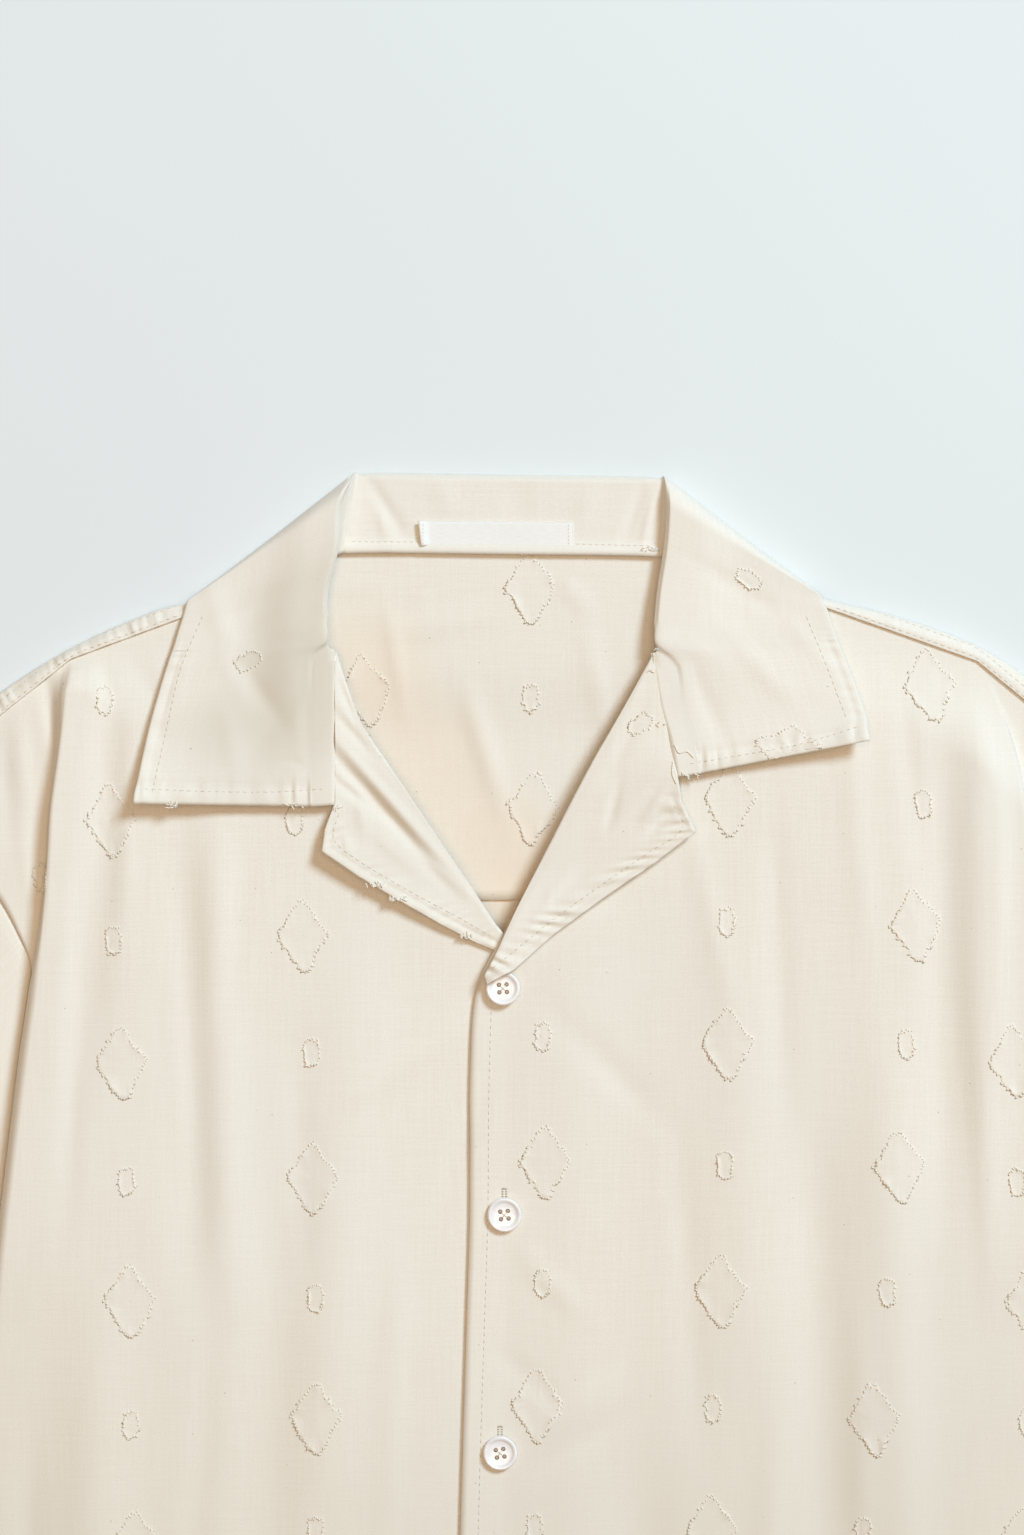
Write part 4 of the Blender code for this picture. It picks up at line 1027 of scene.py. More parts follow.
def soften(mesh, corners, reach, turns=14):
    """Round the cloth off round a few corners, seen from above."""
    grid = bmesh.new()
    grid.from_mesh(mesh)
    for corner in corners:
        middle = Vector(point(corner.across, corner.down, 0.0))
        near = [vert for vert in grid.verts if not vert.is_boundary
                and (vert.co.xy - middle.xy).length < reach * MM]
        for _ in range(turns):
            bmesh.ops.smooth_vert(grid, verts=near, factor=0.5, use_axis_x=True,
                                  use_axis_y=True, use_axis_z=True)
    grid.to_mesh(mesh)
    grid.free()


def colour_of(name, description, *seen):
    """A colour property; its default is given as seen on a screen."""
    return bpy.props.FloatVectorProperty(name=name, description=description, subtype="COLOR",
                                         size=3, default=linear(*seen))


class ShirtSizes(bpy.types.PropertyGroup):
    """Sizes and colours of the cloth, the sewing, the label and the buttons."""

    wall: bpy.props.FloatProperty(
        name="Cloth wall", description="Thickness that each panel shows at its edges",
        default=0.0011, min=0.0003, unit="LENGTH",
    )
    thread_pitch: bpy.props.FloatProperty(
        name="Thread pitch", description="Distance between two threads of the weave",
        default=0.00085, min=0.0002, unit="LENGTH", precision=5,
    )
    cotton_light: colour_of("Cotton, light threads", "Colour of the paler threads", 238, 230, 217)
    cotton_shade: colour_of("Cotton, dark threads", "Colour of the darker threads", 233, 224, 209)
    cotton_cool: colour_of("Cotton, cool cast", "Cooler tone in soft clouds", 234, 229, 219)
    fleck: colour_of("Seed fleck", "Colour of the small seed flecks", 150, 130, 104)
    # Warm colour of the painted shade inside the neck hollow
    painted_neck_shade: colour_of("Neck_shading", "Warm tone of the soft shadows inside the neck", 240, 216, 188)
    # Greyer colour painted as shade on the right collar leaf and lapel, and towards the hems
    painted_shade: colour_of("Leaf tone", "Greyer tone of the right collar leaf", 218, 209, 193)
    tuft: colour_of(
        "Cut threads", "Colour of the frayed threads round the figures", 244, 238, 226
    )
    thread: colour_of("Sewing thread", "Colour of the stitches", 226, 214, 193)
    label: colour_of("Label", "Colour of the neck label", 243, 240, 234)
    button: colour_of("Button", "Colour of the buttons", 248, 244, 242)


class StageSettings(bpy.types.PropertyGroup):
    """Camera, light and floor."""

    lens: bpy.props.FloatProperty(
        name="Lens", description="Focal length of the camera", default=85.0, unit="CAMERA",
    )
    frame_height: bpy.props.FloatProperty(
        name="Frame height", description="Height of cloth that the picture shows",
        default=0.6447, unit="LENGTH",
    )
    key_power: bpy.props.FloatProperty(
        name="Key light", description="Power of the light from the upper right", default=334.0,
    )
    sky: bpy.props.FloatProperty(
        name="Sky", description="Strength of the light from all round", default=0.28,
    )
    overhead_power: bpy.props.FloatProperty(
        name="Overhead light", description="Power of the warm light straight above",
        default=56.0,
    )
    floor: colour_of("Floor", "Colour of the ground that the shirt lies on", 228, 232, 231)


class SHIRT_OT_backs(bpy.types.Operator):
    """Lower back and yoke, on the ground under the fronts"""

    bl_idname = "shirt.backs"
    bl_label = "Back and Yoke"

    def execute(self, context):
        sizes = context.scene.shirt_sizes

        def back_point(u, v):
            down = mix(YOKE_DOWN + GAP, LENGTH, station(v))
            across = mix(outer_edge("right", down), outer_edge("left", down), u)
            return point(across, down, 0.0)

        mesh = grid_mesh("cloth_back", 60, 110, back_point, laid_cut(back_point), turned=True)
        # The back and the yoke carry painted warm shade inside the neck
        finish = cotton_finish("cotton_back", sizes, NECK_SHADE_SPOTS, sizes.painted_neck_shade)
        add_cloth(mesh, "back", finish, sizes.wall)
        mesh = grid_mesh("cloth_yoke", 520, 66, yoke_point, laid_cut(yoke_point),
                         up_at=(0.5, 0.3), turned=True)
        finish = cotton_finish("cotton_yoke", sizes, NECK_SHADE_SPOTS, sizes.painted_neck_shade)
        add_cloth(mesh, "yoke", finish, sizes.wall, ["cloth_back"])
        return {"FINISHED"}


class SHIRT_OT_fronts(bpy.types.Operator):
    """Both front panels, with their side folds"""

    bl_idname = "shirt.fronts"
    bl_label = "Fronts"

    def execute(self, context):
        sizes = context.scene.shirt_sizes
        # The fronts carry painted shade that darkens them towards the hems
        finish = cotton_finish("cotton_fronts", sizes, HEM_SHADES, sizes.painted_shade)
        for side in SIDES:
            place = partial(front_point, side)
            mesh = grid_mesh("cloth_front_" + side, 126, 190, place, laid_cut(place))
            add_cloth(mesh, "front_" + side, finish, sizes.wall, ["cloth_back"])
        return {"FINISHED"}


class SHIRT_OT_collar(bpy.types.Operator):
    """Camp collar and the two turned lapels"""

    bl_idname = "shirt.collar"
    bl_label = "Collar and Lapels"

    def execute(self, context):
        sizes = context.scene.shirt_sizes
        finish = cotton_finish("cotton_collar", sizes, LEAF_SHADES, sizes.painted_shade)
        plain = cotton_finish("cotton_lapels", sizes, LAPEL_SHADES, sizes.painted_shade)
        length, width = CUTS["cloth_collar"].flat
        wall = 1.3 * sizes.wall

        def cut(u, v):
            return v * width, u * length

        mesh = grid_mesh("cloth_collar", 380, 81, collar_point, cut, up_at=(0.06, 0.6))
        soften(mesh, COLLAR_CORNERS, 7.0)
        soften(mesh, LEAF_ROOTS, 10.0, 36)
        add_cloth(mesh, "collar", finish, wall, ["cloth_yoke"])
        for side in SIDES:
            place = partial(lapel_point, side)
            mesh = grid_mesh("cloth_facing_" + side, 240, 44, place, laid_cut(place))
            add_cloth(mesh, "facing_" + side, plain, wall, ["cloth_front_" + side])
        return {"FINISHED"}


class SHIRT_OT_sleeves(bpy.types.Operator):
    """Both short sleeves, flattened tubes"""

    bl_idname = "shirt.sleeves"
    bl_label = "Sleeves"

    def execute(self, context):
        sizes = context.scene.shirt_sizes
        finish = cotton_finish("cotton_sleeves", sizes)
        width, length = SLEEVE_MAP

        def cut(u, v):
            return (1.0 - np.cos(u * WHOLE_TURN)) / 2.0 * width, v * length

        for side in SIDES:
            place = partial(sleeve_point, side)
            mesh = grid_mesh("cloth_sleeve_" + side, 120, 60, place, cut, up_at=(0.25, 0.5))
            add_cloth(mesh, "sleeve_" + side, finish, sizes.wall)
        return {"FINISHED"}


# Sewing, woven figures, label and buttons: all lie on the cloth pieces

TRIM = {}
Seam = namedtuple("Seam", "piece pitch path")
PULLED_THREADS = [
    Seam("cloth_collar", 1.7, [(61.6, 76.4), (62.4, 86.0), (64.4, 98.3)]),
    Seam("cloth_collar", 1.2, [(70.0, 115.1), (72.0, 118.4), (75.4, 118.0), (77.7, 120.1)]),
    Seam("cloth_facing_left", 1.2, [(69.4, 121.8), (69.2, 127.4), (70.6, 131.0)]),
]
STITCH_ROWS = [
    Seam("cloth_collar", 2.9, [(-127.5, 60.0), (-136.5, 82.3), (-141.1, 102.5), (-147.9, 135.6)]),
    Seam("cloth_collar", 2.9, [(-151.5, 133.4), (-120.0, 134.6), (-95.0, 134.6), (-76.0, 133.4)]),
    Seam("cloth_collar", 2.9, [(125.6, 60.5), (135.2, 85.3), (142.0, 104.5)]),
    Seam("cloth_collar", 2.9, [(76.0, 123.0), (97.9, 119.3), (123.1, 114.6), (146.0, 107.6)]),
    Seam("cloth_collar", 2.7, [(-66.0, 29.2), (0.0, 29.6), (60.0, 31.0)]),
    Seam("cloth_facing_right", 2.9, [(-70.2, 143.0), (-72.4, 154.0), (-65.1, 161.3),
                                     (-44.9, 173.9), (-18.1, 188.6), (-7.1, 195.0)]),
    Seam("cloth_facing_left", 2.9, [(69.6, 139.5), (73.6, 149.6), (60.1, 159.6),
                                    (38.2, 174.6), (18.5, 188.9), (0.4, 203.4), (-7.6, 209.4)]),
    Seam("cloth_front_left", 3.0, [(-6.6, 226.0), (-7.6, 262.0), (-8.0, 313.0), (-9.5, 360.0),
                                   (-11.9, 440.0), (-14.5, 560.0), (-17.5, 731.0)]),
    Seam("cloth_front_left", 3.0, [(-22.0, 714.0), (100.0, 714.0), (240.0, 714.0)]),
    Seam("cloth_front_right", 3.0, [(-234.0, 714.0), (-120.0, 714.0), (-30.0, 714.0)]),
    Seam("cloth_sleeve_right", 3.0, [(-383.0, 285.0), (-318.0, 353.0), (-256.0, 419.0)]),
    Seam("cloth_sleeve_left", 3.0, [(383.0, 279.0), (325.0, 352.0), (268.0, 424.0)]),
]
SHOULDER_ROWS = (0.7, 5.2)

# Loose thread ends: where, and how many
Fray = namedtuple("Fray", "piece across down count")
FRAYS = [
    Fray("cloth_collar", -138.2, 140.2, 9),
    Fray("cloth_collar", -88.6, 140.4, 8),
    Fray("cloth_collar", 76.5, 128.0, 7),
    Fray("cloth_collar", 60.5, 32.2, 14),
    Fray("cloth_facing_right", -55.4, 173.6, 12),
    Fray("cloth_facing_right", -45.6, 179.3, 14),
    Fray("cloth_facing_right", -18.0, 195.2, 12),
    Fray("cloth_facing_right", -72.4, 141.5, 8),
    Fray("cloth_facing_left", 63.4, 84.0, 8),
    Fray("cloth_facing_left", 66.2, 106.0, 6),
]

# Outlines of the two woven figures from the middle, to the right and up
Turn = namedtuple("Turn", "across up")
LARGE_OUTLINE = rows_of(Turn, [
    (0.8, 14.6), (2.6, 12.6), (5.2, 8.4), (7.8, 4.8), (10.2, 1.4), (9.6, -1.4), (7, -5.6),
    (4.4, -10), (1.8, -14.4), (-1.2, -14.6), (-3.4, -11.6), (-6.2, -7.2), (-9, -2.6),
    (-10.2, 0.8), (-7.8, 4.6), (-5, 8.8), (-2.2, 13.2),
])
SMALL_OUTLINE = rows_of(Turn, [
    (0.6, 5.6), (2.6, 4.6), (3.2, 0.8), (2.8, -3), (1.4, -5.2), (-1.4, -5.6), (-3, -3.4),
    (-3.3, 0.2), (-2.8, 4.2), (-1.2, 5.2),
])

# Threads round the figures: their width, and the height of the cut ends and of the dark
# outline beads, which stand thicker on the lower-left as painted shadow
TUFT_WIDTH = 0.72
TUFT_HEIGHT = 0.5
SHADOW_OUTLINE_HEIGHT = 0.26

# Rings of a figure from its edge to its middle: share of the reach, frayed edge and height
Ring = namedtuple("Ring", "reach fray height")
RINGS = rows_of(Ring, [
    (1.03, 1, -0.12), (1, 1, 0.86), (0.9, 0.5, 0.56), (0.79, 0.15, 0.14), (0.45, 0, 0.08),
    (0.02, 0, 0.1),
])


def surface(name, lift=0.0):
    """Function that drops a place onto a cloth piece from above; it gives the spot and normal."""
    mesh = CLOTH[name].data
    spots = [vert.co for vert in mesh.vertices]
    tree = BVHTree.FromPolygons(spots, [tuple(face.vertices) for face in mesh.polygons])

    def drop(across, down):
        start = Vector(point(across, down, 100.0))
        spot, normal, _, _ = tree.ray_cast(start, Vector((0.0, 0.0, -1.0)))
        if spot is None:
            return None, None
        if normal.z < 0.0:
            normal = -normal
        return spot + normal * lift * MM, normal

    return drop


def bead(grid, spot, along, normal, length, width, height):
    """A short rounded piece of thread, with its sizes in millimetres."""
    length, width, height = [size * MM for size in (length, width, height)]
    along = (along - normal * along.dot(normal)).normalized()
    aside = normal.cross(along)
    shape = Matrix((along * length / 2.0, aside * width / 2.0, normal * height / 2.0))
    shape = shape.transposed().to_4x4()
    shape.translation = spot
    bmesh.ops.create_icosphere(grid, subdivisions=1, radius=1.0, matrix=shape)


def walk(path, pitch):
    """Places along a path at even steps, each with its direction."""
    path = np.array(path, float)
    runs = np.hypot(*np.diff(path, axis=0).T)
    ends = np.concatenate(([0.0], np.cumsum(runs)))
    steps = np.arange(pitch / 2.0, ends[-1], pitch)
    across = curve(ends, path[:, 0], steps)
    down = curve(ends, path[:, 1], steps)
    turns = np.arctan2(np.gradient(down), np.gradient(across))
    return zip(across, down, turns)


def finish_detail(grid, name, finish, on=None):
    mesh = mesh_of(grid, name)
    mesh.shade_smooth()
    item = add_piece(mesh, finish)
    if on:
        TRIM.setdefault(on, []).append(item)


def outline_points(outline, count):
    """Even places on the closed smooth line through an outline's turns."""
    keys = np.arange(-2, len(outline) + 3)
    rows = [outline[key % len(outline)] for key in keys]
    place = np.linspace(0.0, len(outline), count, endpoint=False)
    return (
        curve(keys, [row.across for row in rows], place),
        curve(keys, [row.up for row in rows], place),
    )


def woven_figure(grid, tufts, edges, drop, figure, outline, count, fray, chance):
    """A patch with a frayed raised edge, woven into the cloth round a charted place."""
    x, y = outline_points(outline, count)
    reach = np.hypot(x, y)
    teeth = np.array([chance.uniform(-0.45, 1.0) * (-1.0) ** turn for turn in range(count)])
    body = np.array([chance.uniform(0.15, 1.35) for _ in range(count)])
    round_ = np.linspace(0.0, WHOLE_TURN, count, endpoint=False)
    slow = 0.75 + 0.25 * np.sin(round_ * 2.0 + chance.uniform(0.0, 6.0))
    slow = slow * (0.72 + 0.28 * np.sin(round_ * 7.0 + chance.uniform(0.0, 6.0)))
    slow = slow * (0.80 + 0.20 * np.sin(np.arctan2(-x - y, 1.0)))
    wobble = 0.35 * np.sin(round_ * 5.0 + chance.uniform(0.0, 6.0))
    wobble = wobble + 0.25 * np.sin(round_ * 11.0 + chance.uniform(0.0, 6.0))
    lean = math.radians(figure.lean)
    made = bmesh.ops.create_grid(grid, x_segments=count, y_segments=len(RINGS) - 1, size=1.0)
    lost = []
    for vert in made["verts"]:
        turn = round((vert.co.x + 1.0) / 2.0 * count) % count
        ring = RINGS[round((vert.co.y + 1.0) / 2.0 * (len(RINGS) - 1))]
        out = fray * (ring.fray * teeth[turn] + ring.reach * wobble[turn])
        scale = ring.reach + out / reach[turn]
        dx = x[turn] * scale
        dy = y[turn] * scale
        right = dx * math.cos(lean) - dy * math.sin(lean)
        up = dx * math.sin(lean) + dy * math.cos(lean)
        spot, normal = drop(figure.across + right, figure.down - up)
        if spot is None:
            lost.append(vert)
            continue
        height = ring.height
        if ring.fray > 0.0 and height > 0.0:
            height *= body[turn] * slow[turn]
        vert.co = spot + normal * height * MM
        if ring is RINGS[1]:
            side = Vector((right, up, 0.0)).normalized()
            side = side + Vector((chance.uniform(-0.9, 0.9), chance.uniform(-0.9, 0.9), 0.0))
            size = chance.uniform(0.7, 1.7)
            tufts.append((vert.co + normal * 0.08 * MM, side, normal, size))
        # Dark beads at the outer foot, most often on the lower-left away from the light: painted
        # shadow
        low_left = (-dx - dy) / reach[turn]
        if ring is RINGS[0] and chance.random() < 0.5 + 0.6 * low_left:
            side = Vector((-up, right, 0.0)).normalized()
            side = side + Vector((chance.uniform(-0.5, 0.5), chance.uniform(-0.5, 0.5), 0.0))
            size = chance.uniform(1.5, 2.6)
            edges.append((spot, side, normal, size))
    kept = [vert for vert in made["verts"] if vert not in set(lost)]
    bmesh.ops.remove_doubles(grid, verts=kept, dist=MERGE)
    if lost:
        bmesh.ops.delete(grid, geom=lost, context="VERTS")


def thread_finish(name, colour):
    finish = Finish(name, Roughness=0.9, Sheen_Weight=0.2)
    grain = finish.noise(finish.place(), (1400.0, 1400.0, 1400.0), 2.0, 0.7)
    finish.two_tone(grain.span(0.3, 0.7), colour, 0.90)
    finish.relief(grain, 0.0003, 0.6)
    return finish.material


class SHIRT_OT_figures(bpy.types.Operator):
    """Woven diamonds and ovals with frayed outlines"""

    bl_idname = "shirt.figures"
    bl_label = "Woven Figures"

    def execute(self, context):
        sizes = context.scene.shirt_sizes
        plain = cotton_finish("cotton_figures", sizes, HEM_SHADES, sizes.painted_shade)
        neck_shaded = cotton_finish("cotton_yoke_figures", sizes, NECK_SHADE_SPOTS, sizes.painted_neck_shade)
        dusky = cotton_finish("cotton_leaf_figures", sizes, LEAF_FIGURE_SHADES, sizes.painted_shade)
        # Dark outline beads round the figures, partly painted shadow
        shadow_outline = thread_finish("thread_gaps", linear(212, 200, 176))
        cut_ends = thread_finish("cut_threads", sizes.tuft)
        chance = random.Random(7)
        for name in sorted(set(LARGE_FIGURES) | set(SMALL_FIGURES)):
            drop = surface(name, sizes.wall / MM if name == "cloth_yoke" else 0.0)
            grid = bmesh.new()
            tufts = []
            edges = []
            for figure in LARGE_FIGURES.get(name, []):
                woven_figure(grid, tufts, edges, drop, figure, LARGE_OUTLINE, 50, 0.85, chance)
            for figure in SMALL_FIGURES.get(name, []):
                woven_figure(grid, tufts, edges, drop, figure, SMALL_OUTLINE, 22, 0.62, chance)
            bmesh.ops.recalc_face_normals(grid, faces=grid.faces[:])
            layer = grid.loops.layers.uv.new("cloth")
            for face in grid.faces:
                for loop in face.loops:
                    loop[layer].uv = loop.vert.co.xy
            finish = {"cloth_yoke": neck_shaded, "cloth_collar": dusky}.get(name, plain)
            finish_detail(grid, name.replace("cloth", "figures"), finish, on=name)
            for label, threads, deep, colour in (
                ("cut_ends", tufts, TUFT_HEIGHT, cut_ends),
                ("thread_gaps", edges, SHADOW_OUTLINE_HEIGHT, shadow_outline),
            ):
                ends = bmesh.new()
                for spot, side, normal, size in threads:
                    bead(ends, spot, side, normal, size, TUFT_WIDTH, deep)
                finish_detail(ends, name.replace("cloth", label), colour, on=name)
        return {"FINISHED"}


def sew(grid, drop, row, lift, length, width, height):
    """Beads of thread along a row, on the cloth that drop reads."""
    for across, down, turn in walk(row.path, row.pitch):
        spot, normal = drop(across, down)
        if spot is not None:
            along = Vector((math.cos(turn), -math.sin(turn), 0.0))
            bead(grid, spot + normal * lift * MM, along, normal, length, width, height)


class SHIRT_OT_sewing(bpy.types.Operator):
    """Rows of stitches and loose thread ends"""

    bl_idname = "shirt.sewing"
    bl_label = "Sewing"

    def execute(self, context):
        sizes = context.scene.shirt_sizes
        finish = thread_finish("sewing_thread", sizes.thread)
        rows = list(STITCH_ROWS)
        for side, sign in (("right", -1.0), ("left", 1.0)):
            across = sign * np.linspace(138.0, 246.0, 14)
            for away in SHOULDER_ROWS:
                down = seam_down(side, across) - away
                rows.append(Seam("cloth_yoke", 3.1, list(zip(across, down))))
        drops = {}
        grids = {}
        for row in rows:
            if row.piece not in drops:
                drops[row.piece] = surface(row.piece)
                grids[row.piece] = bmesh.new()
            sew(grids[row.piece], drops[row.piece], row, 0.0, 2.1, 0.5, 0.34)
        for name, grid in grids.items():
            finish_detail(grid, name.replace("cloth", "stitches"), finish, on=name)
        pale = thread_finish("loose_thread", sizes.tuft)
        chance = random.Random(11)
        grid = bmesh.new()
        for row in PULLED_THREADS:
            sew(grid, drops[row.piece], row, 0.3, 1.6 * row.pitch, 0.5, 0.45)
        for fray in FRAYS:
            drop = drops[fray.piece]
            for _ in range(fray.count):
                across = fray.across + chance.uniform(-3.6, 3.6)
                down = fray.down + chance.uniform(-0.8, 1.0)
                spot, normal = drop(across, down)
                if spot is None:
                    spot, normal = drop(fray.across, fray.down - 1.5)
                    if spot is None:
                        continue
                    spot = Vector(point(across, down, spot.z / MM))
                along = Vector((chance.uniform(-1.0, 1.0), chance.uniform(-1.0, 0.4), 0.0))
                size = chance.uniform(1.4, 3.8)
                bead(grid, spot + normal * 0.4 * MM, along, normal, size, 0.6, 0.6)
        finish_detail(grid, "loose_threads", pale, on="cloth_collar")
        return {"FINISHED"}


class SHIRT_OT_label(bpy.types.Operator):
    """Blank woven neck label with one end turned up"""

    bl_idname = "shirt.label"
    bl_label = "Neck Label"

    def execute(self, context):
        sizes = context.scene.shirt_sizes
        first, last = LABEL_CORNERS

        def place(u, v):
            across = mix(first.across, last.across, u) + 1.2 * (1.0 - eased(u, 0.0, 0.1)) * v
            down = mix(first.down, last.down, v) + 0.6 * u
            height = 2.0 * COLLAR_WALL + 3.0 * GAP + 0.55
            height = height + 1.9 * (1.0 - eased(u, 0.0, 0.07)) + 0.25 * np.sin(u * 9.0) * v
            return point(across, down, height)

        finish = Finish("woven_tape", Roughness=0.62, Sheen_Weight=0.25, Specular_IOR_Level=0.4)
        ribs = finish.noise(finish.cloth_map(), (300.0, 5200.0, 1.0), 1.0)
        finish.two_tone(ribs.span(0.3, 0.7), sizes.label, 0.94)
        finish.relief(ribs, 0.0002, 0.5)
        mesh = grid_mesh("neck_label", 60, 12, place, laid_cut(place))
        add_cloth(mesh, "label", finish.material, LABEL_WALL, ["cloth_collar"])
        drop = surface("neck_label")
        thread = thread_finish("label_thread", sizes.thread)
        grid = bmesh.new()
        for across in LABEL_ENDS:
            for step in range(6):
                spot, normal = drop(across, 22.4 + 1.5 * step)
                if spot is not None:
                    bead(grid, spot, Vector((0.0, 1.0, 0.0)), normal, 1.0, 0.4, 0.3)
        finish_detail(grid, "label_stitches", thread, on="neck_label")
        return {"FINISHED"}


def drilled(name, disc, bits):
    """The button's disc with its holes cut through."""
    solid = add_object("disc", disc)
    cutter = add_object("bits", bits)
    cut = solid.modifiers.new("Holes", "BOOLEAN")
    cut.operation = "DIFFERENCE"
    cut.object = cutter
    cut.solver = "EXACT"
    found = solid.evaluated_get(bpy.context.evaluated_depsgraph_get())
    mesh = bpy.data.meshes.new_from_object(found)
    mesh.name = name
    bpy.data.objects.remove(solid)
    bpy.data.objects.remove(cutter)
    return mesh


class SHIRT_OT_buttons(bpy.types.Operator):
    """Five pearly four-hole buttons, their thread and the ends of the buttonholes"""

    bl_idname = "shirt.buttons"
    bl_label = "Buttons"

    def execute(self, context):
        sizes = context.scene.shirt_sizes
        pearl = Finish("pearl_button", Roughness=0.22, Coat_Weight=0.5, Coat_Roughness=0.12,
                       Specular_IOR_Level=0.55)
        cloud = pearl.noise(pearl.place(), (160.0, 260.0, 160.0), 3.0, 0.6)
        pearl.two_tone(cloud.span(0.35, 0.65), sizes.button, 0.93)
        thread = thread_finish("button_thread", sizes.thread)
        slit = thread_finish("buttonhole_thread", [part * 0.72 for part in sizes.thread])
        # Darker tan thread that fills the holes, coloured as painted shade of the holes
        deep = thread_finish("button_holes", linear(196, 168, 146))
        drop = surface("cloth_front_left")
        marks = bmesh.new()
        for number, place in enumerate(BUTTONS, start=1):
            low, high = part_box("button_%d" % number)
            middle = (low + high) / 2.0
            middle.z = low.z
            grid = bmesh.new()
            verts = [grid.verts.new((r * MM, 0.0, z * MM)) for r, z in BUTTON_PROFILE]
            edges = [grid.edges.new(pair) for pair in zip(verts, verts[1:])]
            bmesh.ops.spin(grid, geom=verts + edges, axis=(0.0, 0.0, 1.0), cent=(0.0, 0.0, 0.0),
                           steps=48, angle=WHOLE_TURN, use_merge=True)
            bmesh.ops.remove_doubles(grid, verts=grid.verts[:], dist=MERGE)
            bmesh.ops.recalc_face_normals(grid, faces=grid.faces[:])
            disc = mesh_of(grid, "disc")
            drill = bmesh.new()
            turn = 0.05 * number
            corners = []
            for quarter in range(4):
                angle = turn + math.pi * (0.25 + quarter / 2.0)
                corner = Vector((math.cos(angle), math.sin(angle), 0.0)) * HOLE_REACH * MM
                corners.append(corner)
                bmesh.ops.create_cone(drill, cap_ends=True, segments=16,
                                      radius1=HOLE_RADIUS * MM, radius2=HOLE_RADIUS * MM,
                                      depth=9.0 * MM, matrix=Matrix.Translation(corner))
            mesh = drilled("pearl_button_%d" % number, disc, mesh_of(drill, "bits"))
            mesh.transform(Matrix.Translation(middle))
            mesh.materials.clear()
            item = add_piece(mesh, pearl.material)
            mesh.shade_smooth()
            mesh.set_sharp_from_angle(angle=math.radians(35.0))
            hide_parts("button_%d" % number)
            filled = bmesh.new()
            up = Vector((0.0, 0.0, 1.0))
            # Thread in each hole, in the darker painted-shade finish
            for corner in corners:
                bead(filled, middle + corner + up * 1.0 * MM, ALONG, up, 1.86, 1.86, 1.2)
            finish_detail(filled, "button_shank_%d" % number, deep)
            sewn = bmesh.new()
            for first, last in ((0, 2), (1, 3)):
                run = corners[last] - corners[first]
                height = 1.62 + 0.12 * first
                bead(sewn, middle + up * height * MM, run, up, run.length * 0.98 / MM, 0.5, 0.4)
            finish_detail(sewn, "button_thread_%d" % number, thread)
            if number > 1:
                for step in range(SLIT_STITCHES):
                    for aside in (-SLIT_ASIDE, SLIT_ASIDE):
                        down = place.down - SLIT_REACH + step
                        spot, normal = drop(place.across + aside, down)
                        bead(marks, spot, ALONG, normal, 1.3, 0.8, 0.5)
                spot, normal = drop(place.across, place.down - SLIT_REACH - 0.3)
                bead(marks, spot, ALONG, normal, 2.2, 0.9, 0.6)
        finish_detail(marks, "buttonholes", slit, on="cloth_front_left")
        return {"FINISHED"}


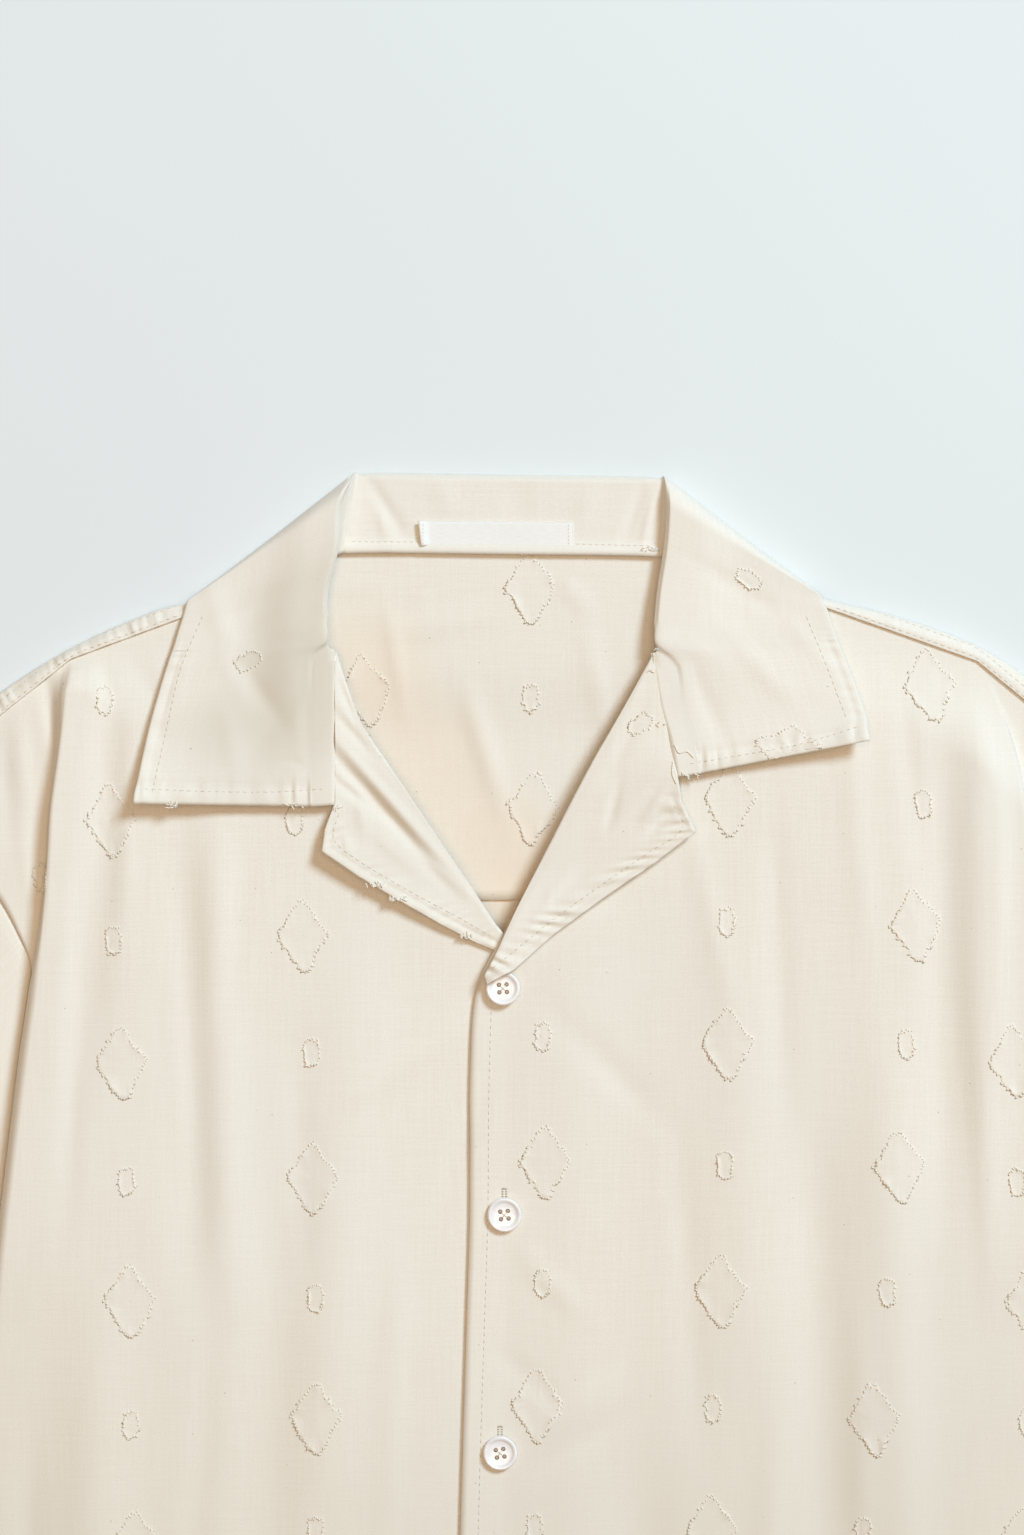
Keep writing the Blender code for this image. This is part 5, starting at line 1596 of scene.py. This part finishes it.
class SHIRT_OT_stage(bpy.types.Operator):
    """Ground, soft light and the camera straight above"""

    bl_idname = "shirt.stage"
    bl_label = "Stage"

    def execute(self, context):
        scene = context.scene
        setup = scene.shirt_stage
        grid = bmesh.new()
        bmesh.ops.create_grid(grid, x_segments=1, y_segments=1, size=4.0)
        mesh = mesh_of(grid, "ground")
        mesh.transform(Matrix.Translation((0.0, 0.0, -GROUND_DROP)))
        ground = add_object("ground", mesh)
        finish = Finish("ground_card", Roughness=0.75, Specular_IOR_Level=0.3)
        patches = finish.noise(finish.place(), (1.2, 1.2, 1.2), 2.0)
        finish.two_tone(patches.span(0.3, 0.7), setup.floor, 0.97)
        mesh.materials.append(finish.material)

        scene.view_settings.view_transform = "Standard"
        world = bpy.data.worlds.new("room")
        scene.world = world
        world.use_nodes = True
        sky = world.node_tree.nodes["Background"]
        sky.inputs["Color"].default_value = (1.0, 0.78, 0.58, 1.0)
        sky.inputs["Strength"].default_value = setup.sky
        lights = (
            ("key", (2.9, 3.1, 4.4), 1.8, setup.key_power, (0.584, 0.806, 1.0)),
            ("overhead", (0.0, 0.25, 4.0), 2.4, setup.overhead_power, (1.0, 0.77, 0.55)),
        )
        for name, place, size, power, colour in lights:
            lamp = bpy.data.lights.new(name, "AREA")
            lamp.shape = "DISK"
            lamp.size = size
            lamp.energy = power
            lamp.color = colour
            item = add_object(name, lamp)
            item.location = place
            aim = LIGHT_AIM - Vector(place)
            item.rotation_euler = aim.to_track_quat("-Z", "Y").to_euler()

        lens = bpy.data.cameras.new("camera")
        lens.lens = setup.lens
        lens.sensor_width = SENSOR
        scene.camera = add_object("camera", lens)
        across, along, above = CAMERA_OVER
        distance = setup.frame_height * setup.lens / SENSOR
        scene.camera.location = (across, along, above + distance)
        return {"FINISHED"}


class SHIRT_PT_panel(bpy.types.Panel):
    """The shirt's parts and sizes"""

    bl_label = "Camp Collar Shirt"
    bl_idname = "SHIRT_PT_panel"
    bl_space_type = "VIEW_3D"
    bl_region_type = "UI"
    bl_category = "Shirt"

    def draw(self, context):
        for group in (context.scene.shirt_sizes, context.scene.shirt_stage):
            box = self.layout.box()
            for name in group.__annotations__:
                box.prop(group, name)
        for step in STEPS:
            self.layout.operator(step.bl_idname)


STEPS = (
    SHIRT_OT_backs,
    SHIRT_OT_fronts,
    SHIRT_OT_collar,
    SHIRT_OT_sleeves,
    SHIRT_OT_figures,
    SHIRT_OT_sewing,
    SHIRT_OT_label,
    SHIRT_OT_buttons,
    SHIRT_OT_stage,
)
CLASSES = (ShirtSizes, StageSettings, *STEPS, SHIRT_PT_panel)


def register():
    for item in CLASSES:
        bpy.utils.register_class(item)
    bpy.types.Scene.shirt_sizes = bpy.props.PointerProperty(type=ShirtSizes)
    bpy.types.Scene.shirt_stage = bpy.props.PointerProperty(type=StageSettings)


def unregister():
    del bpy.types.Scene.shirt_stage
    del bpy.types.Scene.shirt_sizes
    for item in reversed(CLASSES):
        bpy.utils.unregister_class(item)


def main():
    register()
    for step in STEPS:
        area, name = step.bl_idname.split(".")
        getattr(getattr(bpy.ops, area), name)()


if __name__ == "__main__":
    main()
